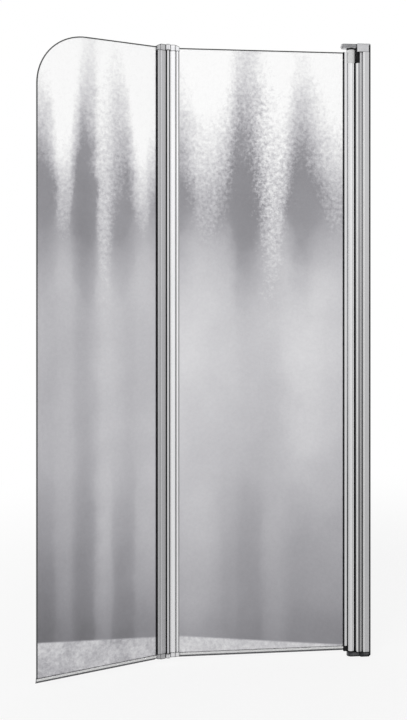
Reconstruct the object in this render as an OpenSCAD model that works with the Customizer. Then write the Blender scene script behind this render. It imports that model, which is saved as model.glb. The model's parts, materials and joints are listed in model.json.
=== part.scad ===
// Folding bath screen: two glass panels, hinged to each other, on a post that turns beside the wall.
// The wall is the plane X = 0 and the screen reaches towards -X.
// Z = 0 is the lower end of the wall profile, and Y = 0 the middle of the pane beside the wall.
// The outer panel folds towards -Y.

/* [Overall] */
// Height from the underside of the foot bracket to the top of the wall cap
screen_h = 1400; // [1000:10:1800]
// Distance from the wall to the fold axis
fold_x = 463; // [340:1:600]
// Width of the outer panel, from the fold axis to its free edge
outer_w = 300; // [200:5:450]
// Angle between the outer panel and the line of the inner one, as shown
fold_angle = 21; // [0:1:180]
// Wall thickness of the aluminium profiles
profile_wall = 1.6; // [1.2:0.1:2]
// Gap left between two pieces that move past each other
run_gap = 0.3; // [0.3:0.05:0.5]
// Gap round a piece that is pushed into its seat
seat_gap = 0.05; // [0.02:0.01:0.1]

/* [Glass] */
// Thickness of both panes
glass_t = 5; // [4:0.5:6]
// Height of the lower edge of the glass above the lower end of the wall profile
glass_lift = 5; // [4:1:40]
// Drop from the top of the wall cap to the upper edge of the glass
glass_drop = 18; // [16:1:40]
// Radius of the outer pane's free upper corner
corner_r = 110; // [20:5:180]
// Width of the ground bevel along the edges of the glass
arris = 0.5; // [0.2:0.1:1]
// Thickness of the rubber on each face of the glass
rubber_t = 1.4; // [1:0.1:1.8]
// Depth of rubber under the edge of the glass inside a profile
rubber_base = 1; // [0.6:0.1:1.5]
// Width of the rubber bead that shows beside each profile
bead_w = 2.4; // [1.8:0.1:4]
// How far the rubber bead stands off the glass
bead_t = 2.2; // [1.8:0.1:3]

/* [Wall profile] */
// Width of the wall profile
wall_w = 26; // [25:0.5:32]
// Depth of the wall profile, measured from the wall
wall_d = 17.5; // [16:0.5:20]
// Radius of the bead along each lip of the wall profile
lip_r = 1.9; // [1.6:0.1:2.2]
// How far the bead on the side of the fold stands proud of the wall profile
lip_rise = 0.5; // [0.1:0.1:0.8]
// Width of the black seal strips along the wall profile's back edges
wall_seal_w = 3.4; // [2.4:0.1:4]
// Thickness of the black seal strips
wall_seal_t = 1; // [0.6:0.1:1.2]
// Width of the fixing slots in the back of the wall profile
slot_w = 5.5; // [4.5:0.1:6.5]
// Length of the fixing slots, end to end
slot_l = 12; // [9:0.5:20]
// Distance from each end of the profile to its nearest fixing slot
slot_inset = 95; // [40:5:150]
// Distance between the two fixing slots in the middle
slot_mid_span = 400; // [200:10:500]

/* [Adjuster profile] */
// Number of screws that lock the adjuster profile in the wall profile
lock_count = 3; // [2:1:5]
// Distance from each end of the profile to its nearest locking screw
lock_inset = 140; // [60:10:250]
// Height of the notch in the front of the adjuster, beside the block on the post
notch_h = 25; // [20:1:40]
// Depth of the notch, from the front of the adjuster
notch_d = 8.7; // [8:0.1:11]
// Width of the slanting faces along the adjuster's front corners
adjuster_slant = 3.5; // [2:0.1:3.8]
// Radius of the rib along each side of the adjuster
rib_r = 1; // [0.6:0.1:1.4]
// How far the ribs stand proud of the adjuster's sides
rib_rise = 0.6; // [0.2:0.1:0.8]
// Distance from the lips of the wall profile to the ribs
rib_off = 4.5; // [3:0.5:6]
// Half width of the opening that the jamb seal's neck passes
seal_neck = 1.6; // [1.2:0.1:2]
// Half width of the chamber that holds the jamb seal's foot
seal_foot = 3.6; // [3:0.1:4]
// Depth of the chamber that holds the jamb seal's foot
seal_foot_d = 2.4; // [2:0.1:3]
// Half width of the jamb seal's curved face
seal_face = 4.8; // [3:0.1:5.5]
// Thickness of the domed covers over the locking screws
cover_t = 1; // [0.8:0.1:1.5]

/* [Pivot] */
// Distance from the wall to the pivot axis
pivot_x = 43; // [42.5:0.5:54]
// Radius of the round part of the post
post_r = 9.4; // [9:0.1:10]
// Radius of the bore of the post
post_bore_r = 5.2; // [4.9:0.1:5.6]
// Gap between the post and the hollow in the front of the adjuster profile
jamb_gap = 2.6; // [2:0.1:3]
// Distance between the foremost line of the post's wall side and the front of the adjuster
front_gap = 0.4; // [0.3:0.1:1]
// Distance from the pivot axis to the ends of the legs that hold the glass
post_leg = 15.8; // [14.5:0.1:20]
// Distance from the pivot axis to the bottom of the glass slot
post_slot = 11.6; // [11.4:0.1:12.4]
// Half thickness of the web between the round part of the post and the glass slot
post_web = 3; // [2:0.1:4]
// Radius of the pivot pins
pivot_pin_r = 3; // [2.6:0.1:3.2]
// Radial running clearance of every pin in its bush
pin_play = 0.05; // [0.02:0.01:0.08]
// Length of the pivot pins inside the post
pivot_grip = 22; // [16:1:26]
// Wall thickness of the upper pivot bush
bush_wall = 1.1; // [0.9:0.1:1.3]
// Radius of the block on top of the post
block_r = 9.8; // [9.6:0.1:10]
// Height of the block on top of the post
block_h = 31; // [28:1:40]
// Length of the block's spigot inside the post
spigot_l = 14; // [8:1:24]
// Thickness of the collar on the upper pivot bush
top_collar = 2.7; // [1.5:0.1:4]
// Thickness of the collar on the lower pivot bush
foot_collar = 1.2; // [0.8:0.1:2]
// Radius of the collar on the upper pivot bush
top_collar_r = 9.4; // [7:0.1:9.6]
// Radius of the collar on the lower pivot bush
foot_collar_r = 7; // [6.2:0.1:8]
// Height of the black plug that closes the foot of the glass channel
plug_h = 12.5; // [12:0.5:20]

/* [Wall cap and foot bracket] */
// Height of the wall cap over the wall profile
cap_h = 19; // [17:1:26]
// Thickness of the arm that reaches out over the post
arm_t = 10; // [8:0.5:13]
// Half width of the arm over the post and of the bracket under it
arm_half = 9.5; // [9:0.1:11]
// How far the rounded end of the upper arm reaches past the pivot axis
arm_nose = 24; // [18:0.5:26]
// Draft of the upper arm's sides
arm_draft = 1.2; // [0.5:0.1:2]
// Height of the slanting faces along the lower edge of the upper arm
arm_slant_h = 3.5; // [1:0.5:5]
// How far the upper arm is drawn in along its lower edge
arm_slant = 2.4; // [0.5:0.1:3]
// Radius of the upright edges of the cap and the bracket
cap_edge_r = 3; // [1.6:0.1:4]
// Thickness of the foot bracket
foot_h = 11; // [10:0.5:14]
// Distance from the wall to the front of the foot bracket's wide part
foot_body = 24; // [20:0.5:30]
// Bevel along the lower corner of the foot bracket at the wall
foot_bevel = 4; // [2:0.5:5]
// Bevel along the upper corner of the wall cap at the wall
top_bevel = 1; // [0.5:0.1:2]
// Height of the tongues on the cap and the bracket that locate the profiles
tongue_h = 8; // [5:1:14]

/* [Fold hinge] */
// Distance from the middle of the glass to the fold axis
hinge_off = 8; // [7.8:0.1:9]
// Thickness of the fold profiles
fold_t = 14; // [13.4:0.2:14.8]
// Distance from the fold axis to the shoulder of a fold profile
fold_box = 17; // [16:0.5:20]
// Distance from the fold axis to the ends of the legs that hold the glass
fold_leg = 23.5; // [22:0.5:28]
// Distance from the fold axis to the bottom of the glass slot
fold_slot = 12; // [11.8:0.1:13]
// Thickness across the legs that hold the glass, on every profile
leg_t = 11.6; // [11.2:0.1:12.4]
// Gap between the ends of the two fold profiles when the screen is straight
fold_gap = 1; // [0.8:0.1:1.6]
// Radius of the long edges of the fold profiles
fold_edge_r = 1.8; // [1:0.1:2.4]
// Radius of the groove along each shoulder of the inner fold profile
shoulder_groove_r = 1.1; // [0.6:0.1:1.3]
// Radius of the hinge barrel
barrel_r = 3.7; // [3.5:0.1:4]
// Radius of the bore of the hinge barrel
barrel_bore_r = 2.5; // [2.4:0.1:2.7]
// Gap between the hinge barrel and the hollows round it
barrel_gap = 1.3; // [0.8:0.1:1.5]
// Thickness of the web that joins the barrel to its profile
barrel_web = 2.2; // [1.6:0.1:3]
// Radius of the hinge pins
hinge_pin_r = 1.7; // [1.5:0.1:1.8]
// Length of the hinge pins inside the barrel
hinge_grip = 20; // [12:1:30]
// Thickness of the collar on each hinge bush
hinge_collar = 0.6; // [0.5:0.1:1]
// Radius of the hinge ears on the inner panel's end caps
ear_r = 5.2; // [4.8:0.1:5.6]
// Gap between the ears and the outer panel's end caps
ear_side_gap = 0.4; // [0.3:0.05:0.6]
// Width of the soft seal between the two fold profiles
fold_seal_w = 4; // [3:0.1:5]
// Depth of the groove that holds the soft seal
fold_seal_d = 0.9; // [0.6:0.1:1]

/* [Fold profile end caps] */
// How far the glass runs past the ends of the fold profiles, inside the end caps
cap_cover = 9; // [7:0.5:14]
// How far the upper end caps stand above the glass
cap_rise = 5; // [3:0.5:7]
// How far the outer panel's lower end cap hangs below the glass
outer_cap_drop = 3; // [1.5:0.5:5]
// How far the inner panel's lower end cap hangs below the glass
inner_cap_drop = 1.5; // [1.5:0.5:5]
// How far the end caps stand proud of the faces of the profiles
cap_lip = 0.3; // [0.1:0.1:0.5]
// Bevel on the hinge side corner of the end caps
cap_bevel = 2; // [1:0.5:4]
// Thickness of an end cap over the end of the glass
cap_skin = 1; // [0.8:0.1:1.5]
// Clearance round the glass inside caps and plugs
glass_gap = 0.2; // [0.1:0.05:0.4]

/* [Drip seals] */
// Wall thickness of the clear drip seals
drip_t = 0.9; // [0.6:0.1:1.2]
// How far the drip seals reach up the glass
drip_grip = 11; // [6:0.5:12]
// How far the fins of the drip seals hang below the glass
drip_fall = 6; // [4:0.5:12]
// How far the fins of the drip seals lean out from the glass
drip_lean = 3; // [2:0.5:6]

/* [Screws] */
// Radius of the screws
screw_r = 1.7; // [1.4:0.1:1.8]
// Radius of the screw heads
head_r = 3.1; // [2.8:0.1:3.4]
// Height of the screw heads
head_h = 1.8; // [1.4:0.1:2.2]
// Length of the screws in the ends of the profiles
screw_l = 30; // [26:1:40]
// Length of the locking screws
lock_l = 9; // [7:0.5:10]
// Clearance round a screw that passes through without biting
screw_free = 0.2; // [0.1:0.05:0.3]
// Wall thickness round a screw hole in a profile
port_wall = 1.3; // [1:0.1:1.5]

/* [Hidden] */
$fn = 48;

// A cut is carried this far past the face that it opens
past = 1;
// Two shapes of one piece run this far into each other
weld = 0.2;

// Heights on the wall side
top_z = screen_h - foot_h;
foot_z = -foot_h;
wall_z1 = top_z - cap_h;
notch_z = wall_z1 - notch_h;
arm_z = top_z - arm_t;
seal_strip_z = top_z - 3 * top_bevel;
slot_zc = wall_z1 / 2;
slot_z = [slot_inset, slot_zc - slot_mid_span / 2, slot_zc + slot_mid_span / 2, wall_z1 - slot_inset];
lock_z = [for (i = [0 : lock_count - 1]) lock_inset + i * (wall_z1 - 2 * lock_inset) / (lock_count - 1)];

// Heights of the glass, the fold profiles, the post and its block
glass_z0 = glass_lift;
glass_z1 = top_z - glass_drop;
fold_z0 = glass_z0 + cap_cover;
fold_z1 = glass_z1 - cap_cover;
post_z0 = run_gap + foot_collar;
block_z1 = arm_z - run_gap - top_collar;
block_z0 = block_z1 - block_h;
plug_z0 = run_gap;
plug_z1 = plug_z0 + plug_h;

// Glass slots, and the edges of the panes inside them
groove_w = glass_t + 2 * rubber_t;
fold_glass = fold_slot + rubber_base;
fold_end = fold_leg + bead_w;
post_glass = post_slot + rubber_base;
post_end = post_leg + bead_w;
// The inner panel's frame starts at the fold axis, and reaches the post here
post_u = fold_x - pivot_x;

// Screw ports in the corners of the wall profile and in the fold profiles
port_r = screw_r + seat_gap + port_wall;
wall_port_x = profile_wall + port_r - weld;
wall_port_y = wall_w / 2 - profile_wall - port_r + weld;
fold_port_u = fold_slot - profile_wall - port_r + weld;
fold_port_v = fold_t / 2 - profile_wall - port_r + weld;

// Adjuster profile, which slides inside the wall profile
adjuster_seat = pivot_x - post_r - jamb_gap;
adjuster_front = pivot_x - post_r - front_gap;
adjuster_back = wall_port_x + port_r + past;
adjuster_half = wall_w / 2 - profile_wall - run_gap;
adjuster_inside = adjuster_half - profile_wall;
notch_x = adjuster_front - notch_d;
lock_x = (wall_d + adjuster_back) / 2;
// The cap's body ends where the hollow round the post is deepest
cap_body = adjuster_seat;

// Bushes and heads
upper_bush_r = pivot_pin_r + pin_play + bush_wall;
pivot_head_r = pivot_pin_r + 2;
pivot_head_h = 2;
hinge_head_r = hinge_pin_r + 1.2;
hinge_head_h = 1.5;
ear_gap = hinge_collar + run_gap;
hollow_r = barrel_r + barrel_gap;

// Rectangle between two corners
module slab(x0, x1, y0, y1) {
    translate([x0, y0]) square([x1 - x0, y1 - y0]);
}

// The same rectangle with its four corners rounded
module soft_slab(x0, x1, y0, y1, r) {
    slab(x0 + r, x1 - r, y0, y1);
    slab(x0, x1, y0 + r, y1 - r);
    for (x = [x0 + r, x1 - r], y = [y0 + r, y1 - r]) {
        translate([x, y]) circle(r);
    }
}

// The same rectangle with its four corners cut off
module bevelled_slab(x0, x1, y0, y1, b) {
    polygon([[x0 + b, y0], [x1 - b, y0], [x1, y0 + b], [x1, y1 - b],
        [x1 - b, y1], [x0 + b, y1], [x0, y1 - b], [x0, y0 + b]]);
}

// A flat shape pulled up between two heights
module between(z0, z1) {
    translate([0, 0, z0]) linear_extrude(z1 - z0) children();
}

// A cylinder between two heights
module rod(r, z0, z1) {
    translate([0, 0, z0]) cylinder(r = r, h = z1 - z0);
}

// A shape drawn across a panel and upwards, pulled along the panel
module along(u0, u1) {
    translate([u0, 0, 0]) rotate([90, 0, 90]) linear_extrude(u1 - u0) children();
}

// A shape drawn along a panel and upwards, pulled through the panel to both sides
module through(half) {
    rotate([90, 0, 0]) linear_extrude(2 * half, center = true) children();
}

// A panel frame has its first axis along the panel, away from the hinge that carries it
module post_frame() {
    translate([-pivot_x, 0, 0]) mirror([1, 0, 0]) children();
}

module inner_frame() {
    translate([-fold_x, 0, 0]) children();
}

module outer_frame() {
    translate([-fold_x, -hinge_off, 0]) rotate(fold_angle)
        translate([0, hinge_off, 0]) mirror([1, 0, 0]) children();
}

module at_pivot() {
    translate([-pivot_x, 0, 0]) children();
}

module at_fold_axis() {
    translate([0, -hinge_off, 0]) children();
}

// Countersunk screw with a cross recess, its head up at Z = 0
module flat_screw(l) {
    difference() {
        union() {
            translate([0, 0, -head_h]) cylinder(r1 = screw_r, r2 = head_r, h = head_h);
            rod(screw_r, -l, -head_h + weld);
        }
        cross_recess();
    }
}

// Pan head screw, its head standing on Z = 0 and its shank below
module pan_screw(l) {
    difference() {
        union() {
            cylinder(r1 = head_r, r2 = head_r * 0.8, h = head_h);
            rod(screw_r, -l, weld);
        }
        translate([0, 0, head_h]) cross_recess();
    }
}

module cross_recess() {
    for (a = [0, 90]) {
        rotate(a) translate([-head_r / 2, -screw_r / 5, -head_h / 2])
            cube([head_r, screw_r * 2 / 5, head_h]);
    }
}

// Hole, countersink and counterbore for a flat screw, whose head lies at Z = 0
module flat_screw_hole(l, sink) {
    rod(screw_r + seat_gap, -l - past, past);
    translate([0, 0, -head_h])
        cylinder(r1 = screw_r + seat_gap, r2 = head_r + seat_gap, h = head_h);
    rod(head_r + seat_gap, 0, sink + past);
}

module at_wall_ports() {
    for (s = [-1, 1]) {
        translate([-wall_port_x, s * wall_port_y]) children();
    }
}

module at_fold_port() {
    translate([fold_port_u, fold_port_v]) children();
}

// Black strips along the back edges, where the profile and its cap meet the wall
module wall_seal_plan(gap) {
    half = wall_w / 2;
    for (s = [0, 1]) {
        mirror([0, s]) slab(-wall_seal_w - gap, gap, half - wall_seal_t - gap, half + gap);
    }
}

module wall_seal_strips() {
    color("dimgray") between(0, seal_strip_z) wall_seal_plan(0);
}

// Wall profile: a back, two sides with a bead along each lip, and a screw port in each corner
// The screws' covers lie flat on the far side, so only the bead on the side of the fold stands proud
module wall_section() {
    half = wall_w / 2;
    inside = half - profile_wall;
    difference() {
        union() {
            slab(-profile_wall, 0, -half, half);
            for (s = [0, 1]) {
                mirror([0, s]) {
                    slab(-wall_d + lip_r, 0, inside, half);
                    translate([-wall_d + lip_r, half - lip_r + s * lip_rise]) circle(lip_r);
                }
            }
            at_wall_ports() circle(port_r);
        }
        wall_seal_plan(seat_gap);
        slab(-wall_d - past, -wall_port_x - port_r, -inside, inside);
        at_wall_ports() circle(screw_r + seat_gap);
    }
}

// Slot for a wall screw, upright, so that the profile can be set to height
module wall_slot() {
    straight = slot_l - slot_w;
    reach = profile_wall + 2 * past;
    translate([-profile_wall - past, 0, 0]) {
        for (s = [-1, 1]) {
            translate([0, 0, s * straight / 2]) rotate([0, 90, 0]) cylinder(r = slot_w / 2, h = reach);
        }
        translate([0, -slot_w / 2, -straight / 2]) cube([reach, slot_w, straight]);
    }
}

module wall_profile() {
    color("silver")
    difference() {
        between(0, wall_z1) wall_section();
        for (z = slot_z) {
            translate([0, 0, z]) wall_slot();
        }
        for (z = lock_z) {
            translate([-lock_x, wall_w / 2 + past, z]) rotate([90, 0, 0])
                cylinder(r = screw_r + screw_free, h = profile_wall + 2 * past);
        }
    }
}

// Adjuster profile: a front hollowed round the post, two sides and the chamber for the seal's foot
// Its back is open, and a rib along each side stops it at the lips of the wall profile
module adjuster_section() {
    front = -adjuster_front;
    inner_face = -adjuster_seat + profile_wall;
    chamber = inner_face + seal_foot_d;
    corner = adjuster_half - adjuster_slant;
    difference() {
        union() {
            polygon([[front, -corner], [front + adjuster_slant, -adjuster_half], [-adjuster_back, -adjuster_half],
                [-adjuster_back, adjuster_half], [front + adjuster_slant, adjuster_half], [front, corner]]);
            for (s = [-1, 1]) {
                translate([-wall_d - rib_off, s * (adjuster_half - rib_r + rib_rise)]) circle(rib_r);
            }
        }
        translate([-pivot_x, 0]) circle(post_r + jamb_gap);
        difference() {
            slab(inner_face, past, -adjuster_inside, adjuster_inside);
            slab(front, chamber + profile_wall, -seal_foot - profile_wall, seal_foot + profile_wall);
        }
        slab(inner_face, chamber, -seal_foot, seal_foot);
        slab(front - past, inner_face + past, -seal_neck, seal_neck);
    }
}

module adjuster_profile() {
    color("silver")
    difference() {
        between(0, wall_z1) adjuster_section();
        // Notch beside the block on the post
        translate([-adjuster_front - past, -wall_w / 2, notch_z])
            cube([notch_d + past, wall_w, notch_h + past]);
        for (z = lock_z) {
            translate([-lock_x, wall_w / 2, z]) rotate([90, 0, 0])
                cylinder(r = screw_r + seat_gap, h = wall_w / 2 - adjuster_inside + past);
        }
    }
}

// Screws through the side of the wall profile, on the side away from the fold
module at_locks() {
    for (z = lock_z) {
        translate([-lock_x, wall_w / 2, z]) rotate([-90, 0, 0]) children();
    }
}

module adjuster_screws() {
    color("lightgray") at_locks() pan_screw(lock_l);
}

module screw_cover_caps() {
    inside = head_r + run_gap;
    outside = inside + cover_t;
    top = head_h + run_gap + 2 * cover_t;
    color("whitesmoke") at_locks()
        difference() {
            intersection() {
                rod(outside, 0, top);
                translate([0, 0, top - 2 * outside]) sphere(2 * outside);
            }
            rod(inside, -past, head_h + run_gap);
        }
}

// Jamb seal: a foot in the adjuster's chamber, a neck, and a curved face round the post
module jamb_seal_section() {
    inner_face = -adjuster_seat + profile_wall;
    difference() {
        intersection() {
            translate([-pivot_x, 0]) circle(post_r + jamb_gap);
            slab(-pivot_x + post_r / 2, -adjuster_seat, -seal_face, seal_face);
        }
        translate([-pivot_x, 0]) circle(post_r + run_gap);
    }
    slab(-adjuster_seat - 2 * weld, inner_face + 2 * seat_gap, -seal_neck + seat_gap, seal_neck - seat_gap);
    slab(inner_face + seat_gap, inner_face + seal_foot_d - seat_gap, -seal_foot + seat_gap, seal_foot - seat_gap);
}

module jamb_seal() {
    color("dimgray") between(0, notch_z) jamb_seal_section();
}

// Outline of the cap and of the bracket where they cover the profiles
module cover_plan(front) {
    half = wall_w / 2;
    intersection() {
        soft_slab(-front, wall_w, -half, half, cap_edge_r);
        slab(-front, 0, -half, half);
    }
}

// Tongue between the sides of the adjuster profile
module tongue_plan() {
    half = adjuster_inside - seat_gap;
    soft_slab(-notch_x + seat_gap, -adjuster_back, -half, half, profile_wall / 2);
}

// Arm over the post, drawn in towards its upper and lower edges, with a round end
module top_arm() {
    nose = pivot_x + arm_nose - arm_half;
    edge = arm_z + arm_slant_h;
    low = arm_half - arm_slant;
    high = arm_half - arm_draft;
    along(-nose, -cap_body + cap_edge_r)
        polygon([[-low, arm_z], [low, arm_z], [arm_half, edge], [high, top_z], [-high, top_z], [-arm_half, edge]]);
    translate([-nose, 0, 0]) rotate_extrude()
        polygon([[0, arm_z], [low, arm_z], [arm_half, edge], [high, top_z], [0, top_z]]);
}

module wall_top_cap() {
    color("gainsboro")
    difference() {
        union() {
            intersection() {
                between(wall_z1, top_z) cover_plan(cap_body);
                through(wall_w) polygon([[-cap_body, wall_z1], [0, wall_z1], [0, top_z - top_bevel],
                    [-top_bevel, top_z], [-cap_body, top_z]]);
            }
            between(wall_z1 - tongue_h, wall_z1 + weld) tongue_plan();
            top_arm();
        }
        between(wall_z1 - past, seal_strip_z + seat_gap) wall_seal_plan(seat_gap);
        at_pivot() {
            rod(pivot_pin_r + seat_gap, arm_z - past, top_z + past);
            rod(pivot_head_r + seat_gap, top_z - pivot_head_h - past, top_z + past);
        }
        translate([0, 0, top_z - top_bevel]) at_wall_ports() flat_screw_hole(screw_l, top_bevel);
    }
}

// Black plug in the adjuster's notch, with a nose up to the arm
module adjuster_top_plug() {
    front = pivot_x - block_r - run_gap;
    half = adjuster_inside;
    nose_r = profile_wall / 4;
    color("dimgray")
    difference() {
        union() {
            between(notch_z, wall_z1) soft_slab(-front, -notch_x - seat_gap, -half, half, profile_wall);
            between(wall_z1 - weld, arm_z) soft_slab(-front, -cap_body - seat_gap, -half, half, nose_r);
        }
        at_pivot() rod(block_r + run_gap, notch_z - past, arm_z + past);
    }
}

module wall_foot_bracket() {
    color("gray")
    difference() {
        union() {
            intersection() {
                between(foot_z, 0) {
                    cover_plan(foot_body);
                    slab(-pivot_x, 0, -arm_half, arm_half);
                    translate([-pivot_x, 0]) circle(arm_half);
                }
                through(wall_w) polygon([[-2 * pivot_x, foot_z], [-foot_bevel, foot_z],
                    [0, foot_z + foot_bevel], [0, 0], [-2 * pivot_x, 0]]);
            }
            between(-weld, tongue_h) tongue_plan();
        }
        at_pivot() {
            rod(pivot_pin_r + seat_gap, foot_z - past, past);
            rod(pivot_head_r + seat_gap, foot_z - past, foot_z + pivot_head_h + past);
        }
        translate([0, 0, foot_z + foot_bevel]) mirror([0, 0, 1])
            at_wall_ports() flat_screw_hole(screw_l, foot_bevel);
    }
}

module wall_end_screws() {
    color("lightgray") {
        translate([0, 0, top_z - top_bevel]) at_wall_ports() flat_screw(screw_l);
        translate([0, 0, foot_z + foot_bevel]) mirror([0, 0, 1]) at_wall_ports() flat_screw(screw_l);
    }
}

module upper_pivot_pin() {
    color("silver") at_pivot() {
        rod(pivot_pin_r, block_z1 - pivot_grip, top_z - past - weld);
        rod(pivot_head_r, top_z - past - pivot_head_h, top_z - past);
    }
}

module lower_pivot_pin() {
    color("silver") at_pivot() {
        rod(pivot_pin_r, foot_z + past + weld, post_z0 + pivot_grip);
        rod(pivot_head_r, foot_z + past, foot_z + past + pivot_head_h);
    }
}

// Post: a round tube beside the wall, a web, and two legs that hold the glass
module post_outline() {
    circle(post_r);
    slab(0, post_slot, -post_web, post_web);
    soft_slab(post_slot - profile_wall, post_leg, -leg_t / 2, leg_t / 2, profile_wall / 2);
}

module post_slot_plan() {
    slab(post_slot, post_leg + past, -groove_w / 2, groove_w / 2);
}

module pivot_post() {
    color("silver") post_frame()
    difference() {
        union() {
            between(post_z0, plug_z1 + weld) circle(post_r);
            between(plug_z1, block_z0) post_outline();
            // Beside the block only the legs go on
            between(block_z0 - weld, glass_z1)
                difference() {
                    post_outline();
                    circle(block_r + seat_gap);
                }
        }
        rod(post_bore_r, post_z0 - past, block_z0 + past);
        between(glass_z0 - glass_gap, glass_z1 + past) post_slot_plan();
    }
}

// Block on the tube, with a spigot inside it
module post_top_block() {
    bevel = profile_wall / 2;
    color("whitesmoke") post_frame()
    difference() {
        union() {
            rotate_extrude() polygon([[0, block_z0], [block_r, block_z0], [block_r, block_z1 - bevel],
                [block_r - bevel, block_z1], [0, block_z1]]);
            rod(post_bore_r - seat_gap, block_z0 - spigot_l, block_z0 + weld);
        }
        rod(upper_bush_r + seat_gap, block_z0 - spigot_l - past, block_z1 + past);
    }
}

module upper_pivot_bush() {
    color("ivory") at_pivot()
    difference() {
        union() {
            rod(upper_bush_r, block_z1 - pivot_grip - past, block_z1 + weld);
            rod(top_collar_r, block_z1, block_z1 + top_collar);
        }
        rod(pivot_pin_r + pin_play, block_z1 - pivot_grip - 2 * past, arm_z);
    }
}

module lower_pivot_bush() {
    color("ivory") at_pivot()
    difference() {
        union() {
            rod(post_bore_r - seat_gap, post_z0 - weld, post_z0 + pivot_grip + past);
            rod(foot_collar_r, run_gap, post_z0);
        }
        rod(pivot_pin_r + pin_play, 0, post_z0 + pivot_grip + 2 * past);
    }
}

// Plug that closes the foot of the glass channel, with room for the lower corner of the pane
module post_channel_plug() {
    color("dimgray") post_frame()
    difference() {
        between(plug_z0, plug_z1)
            soft_slab(post_slot - profile_wall, post_end, -leg_t / 2, leg_t / 2, profile_wall);
        rod(post_r + seat_gap, plug_z0 - past, plug_z1 + past);
        between(glass_z0 - glass_gap, plug_z1 + past)
            slab(0, post_end + past, -glass_t / 2 - glass_gap, glass_t / 2 + glass_gap);
    }
}

// Rubber round the edge of the glass, with a bead on each face outside the legs
module rubber_section(slot, leg) {
    bead = glass_t / 2 + bead_t;
    difference() {
        union() {
            slab(slot, leg, -groove_w / 2, groove_w / 2);
            soft_slab(leg - weld, leg + bead_w, -groove_w / 2, groove_w / 2, bead_w / 4);
            soft_slab(leg, leg + bead_w, -bead, bead, bead_w / 4);
        }
        slab(slot + rubber_base, leg + bead_w + past, -glass_t / 2, glass_t / 2);
    }
}

module post_rubber() {
    color("dimgray") post_frame() between(plug_z1, glass_z1) rubber_section(post_slot, post_leg);
}

module inner_fold_rubber() {
    color("dimgray") inner_frame() between(fold_z0, fold_z1) rubber_section(fold_slot, fold_leg);
}

module outer_fold_rubber() {
    color("dimgray") outer_frame() between(fold_z0, fold_z1) rubber_section(fold_slot, fold_leg);
}

// A pane between two distances along its panel, its edges ground to a bevel
module pane(u0, u1) {
    half = glass_t / 2;
    intersection() {
        between(glass_z0, glass_z1) bevelled_slab(u0, u1, -half, half, arris);
        along(u0, u1) bevelled_slab(-half, half, glass_z0, glass_z1, arris);
    }
}

module inner_glass() {
    color("lightsteelblue", 0.5) inner_frame() pane(fold_glass, post_u - post_glass);
}

module outer_glass() {
    half = glass_t / 2;
    u = outer_w - corner_r;
    z = glass_z1 - corner_r;
    color("lightsteelblue", 0.5) outer_frame()
    intersection() {
        pane(fold_glass, outer_w);
        union() {
            between(glass_z0, glass_z1) slab(fold_glass, u, -half, half);
            between(glass_z0, z) slab(fold_glass, outer_w, -half, half);
            translate([u, 0, z]) rotate([90, 0, 0]) rotate_extrude($fn = 96)
                polygon([[0, -half], [corner_r - arris, -half], [corner_r, -half + arris],
                    [corner_r, half - arris], [corner_r - arris, half], [0, half]]);
        }
    }
}

// Clear strip clipped on the lower edge of the glass, with a fin that leans out
module drip_section() {
    half = glass_t / 2;
    outside = half + drip_t;
    top = glass_z0 + drip_grip;
    tip = glass_z0 - drip_fall;
    polygon([[-outside, top], [-outside, glass_z0 - drip_t], [half, glass_z0 - drip_t],
        [half + drip_lean, tip], [outside + drip_lean, tip], [outside, glass_z0],
        [outside, top], [half, top], [half, glass_z0], [-half, glass_z0], [-half, top]]);
}

module inner_drip_seal() {
    color("white", 0.6) inner_frame()
        along(fold_end + glass_gap, post_u - post_end - glass_gap) drip_section();
}

module outer_drip_seal() {
    color("white", 0.6) outer_frame() along(fold_end + glass_gap, outer_w) drip_section();
}

// Fold profile without its hinge side: a hollow box, a screw port and two legs that hold the glass
module fold_section() {
    half = fold_t / 2;
    start = fold_gap / 2;
    difference() {
        union() {
            soft_slab(start, fold_box, -half, half, fold_edge_r);
            soft_slab(fold_slot, fold_leg, -leg_t / 2, leg_t / 2, profile_wall / 2);
        }
        difference() {
            slab(start + profile_wall, fold_slot - profile_wall, -half + profile_wall, half - profile_wall);
            at_fold_port() circle(port_r);
        }
        slab(fold_slot, fold_leg + past, -groove_w / 2, groove_w / 2);
        at_fold_port() circle(screw_r + seat_gap);
    }
}

// Both profiles are hollowed round the barrel and keep a curved wall behind the hollow
module hollowed_fold_section() {
    difference() {
        union() {
            fold_section();
            intersection() {
                at_fold_axis() circle(hollow_r + profile_wall);
                slab(fold_gap / 2, fold_box, -fold_t / 2 + fold_edge_r, fold_t / 2);
            }
            slab(hollow_r - profile_wall, hollow_r + profile_wall, -fold_t / 2, -fold_t / 2 + 2 * profile_wall);
        }
        at_fold_axis() circle(hollow_r);
    }
}

// The inner profile has a groove beside each shoulder
module inner_fold_section() {
    difference() {
        hollowed_fold_section();
        for (s = [-1, 1]) {
            translate([fold_box + shoulder_groove_r, s * leg_t / 2]) circle(shoulder_groove_r);
        }
    }
}

// The outer profile carries the barrel on a slanting web, and has the groove for the soft seal
module outer_fold_section() {
    difference() {
        union() {
            hollowed_fold_section();
            at_fold_axis() {
                circle(barrel_r);
                rotate(45) slab(0, hollow_r + profile_wall / 2, -barrel_web / 2, barrel_web / 2);
            }
        }
        at_fold_axis() circle(barrel_bore_r);
        slab(0, fold_gap / 2 + fold_seal_d, 0, fold_seal_w);
    }
}

module inner_fold_profile() {
    color("silver") inner_frame() between(fold_z0, fold_z1) inner_fold_section();
}

module outer_fold_profile() {
    color("silver") outer_frame() between(fold_z0, fold_z1) outer_fold_section();
}

module fold_seal() {
    color("dimgray") outer_frame() between(fold_z0, fold_z1)
        slab(run_gap - fold_gap / 2, fold_gap / 2 + fold_seal_d, seat_gap, fold_seal_w - seat_gap);
}

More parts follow.
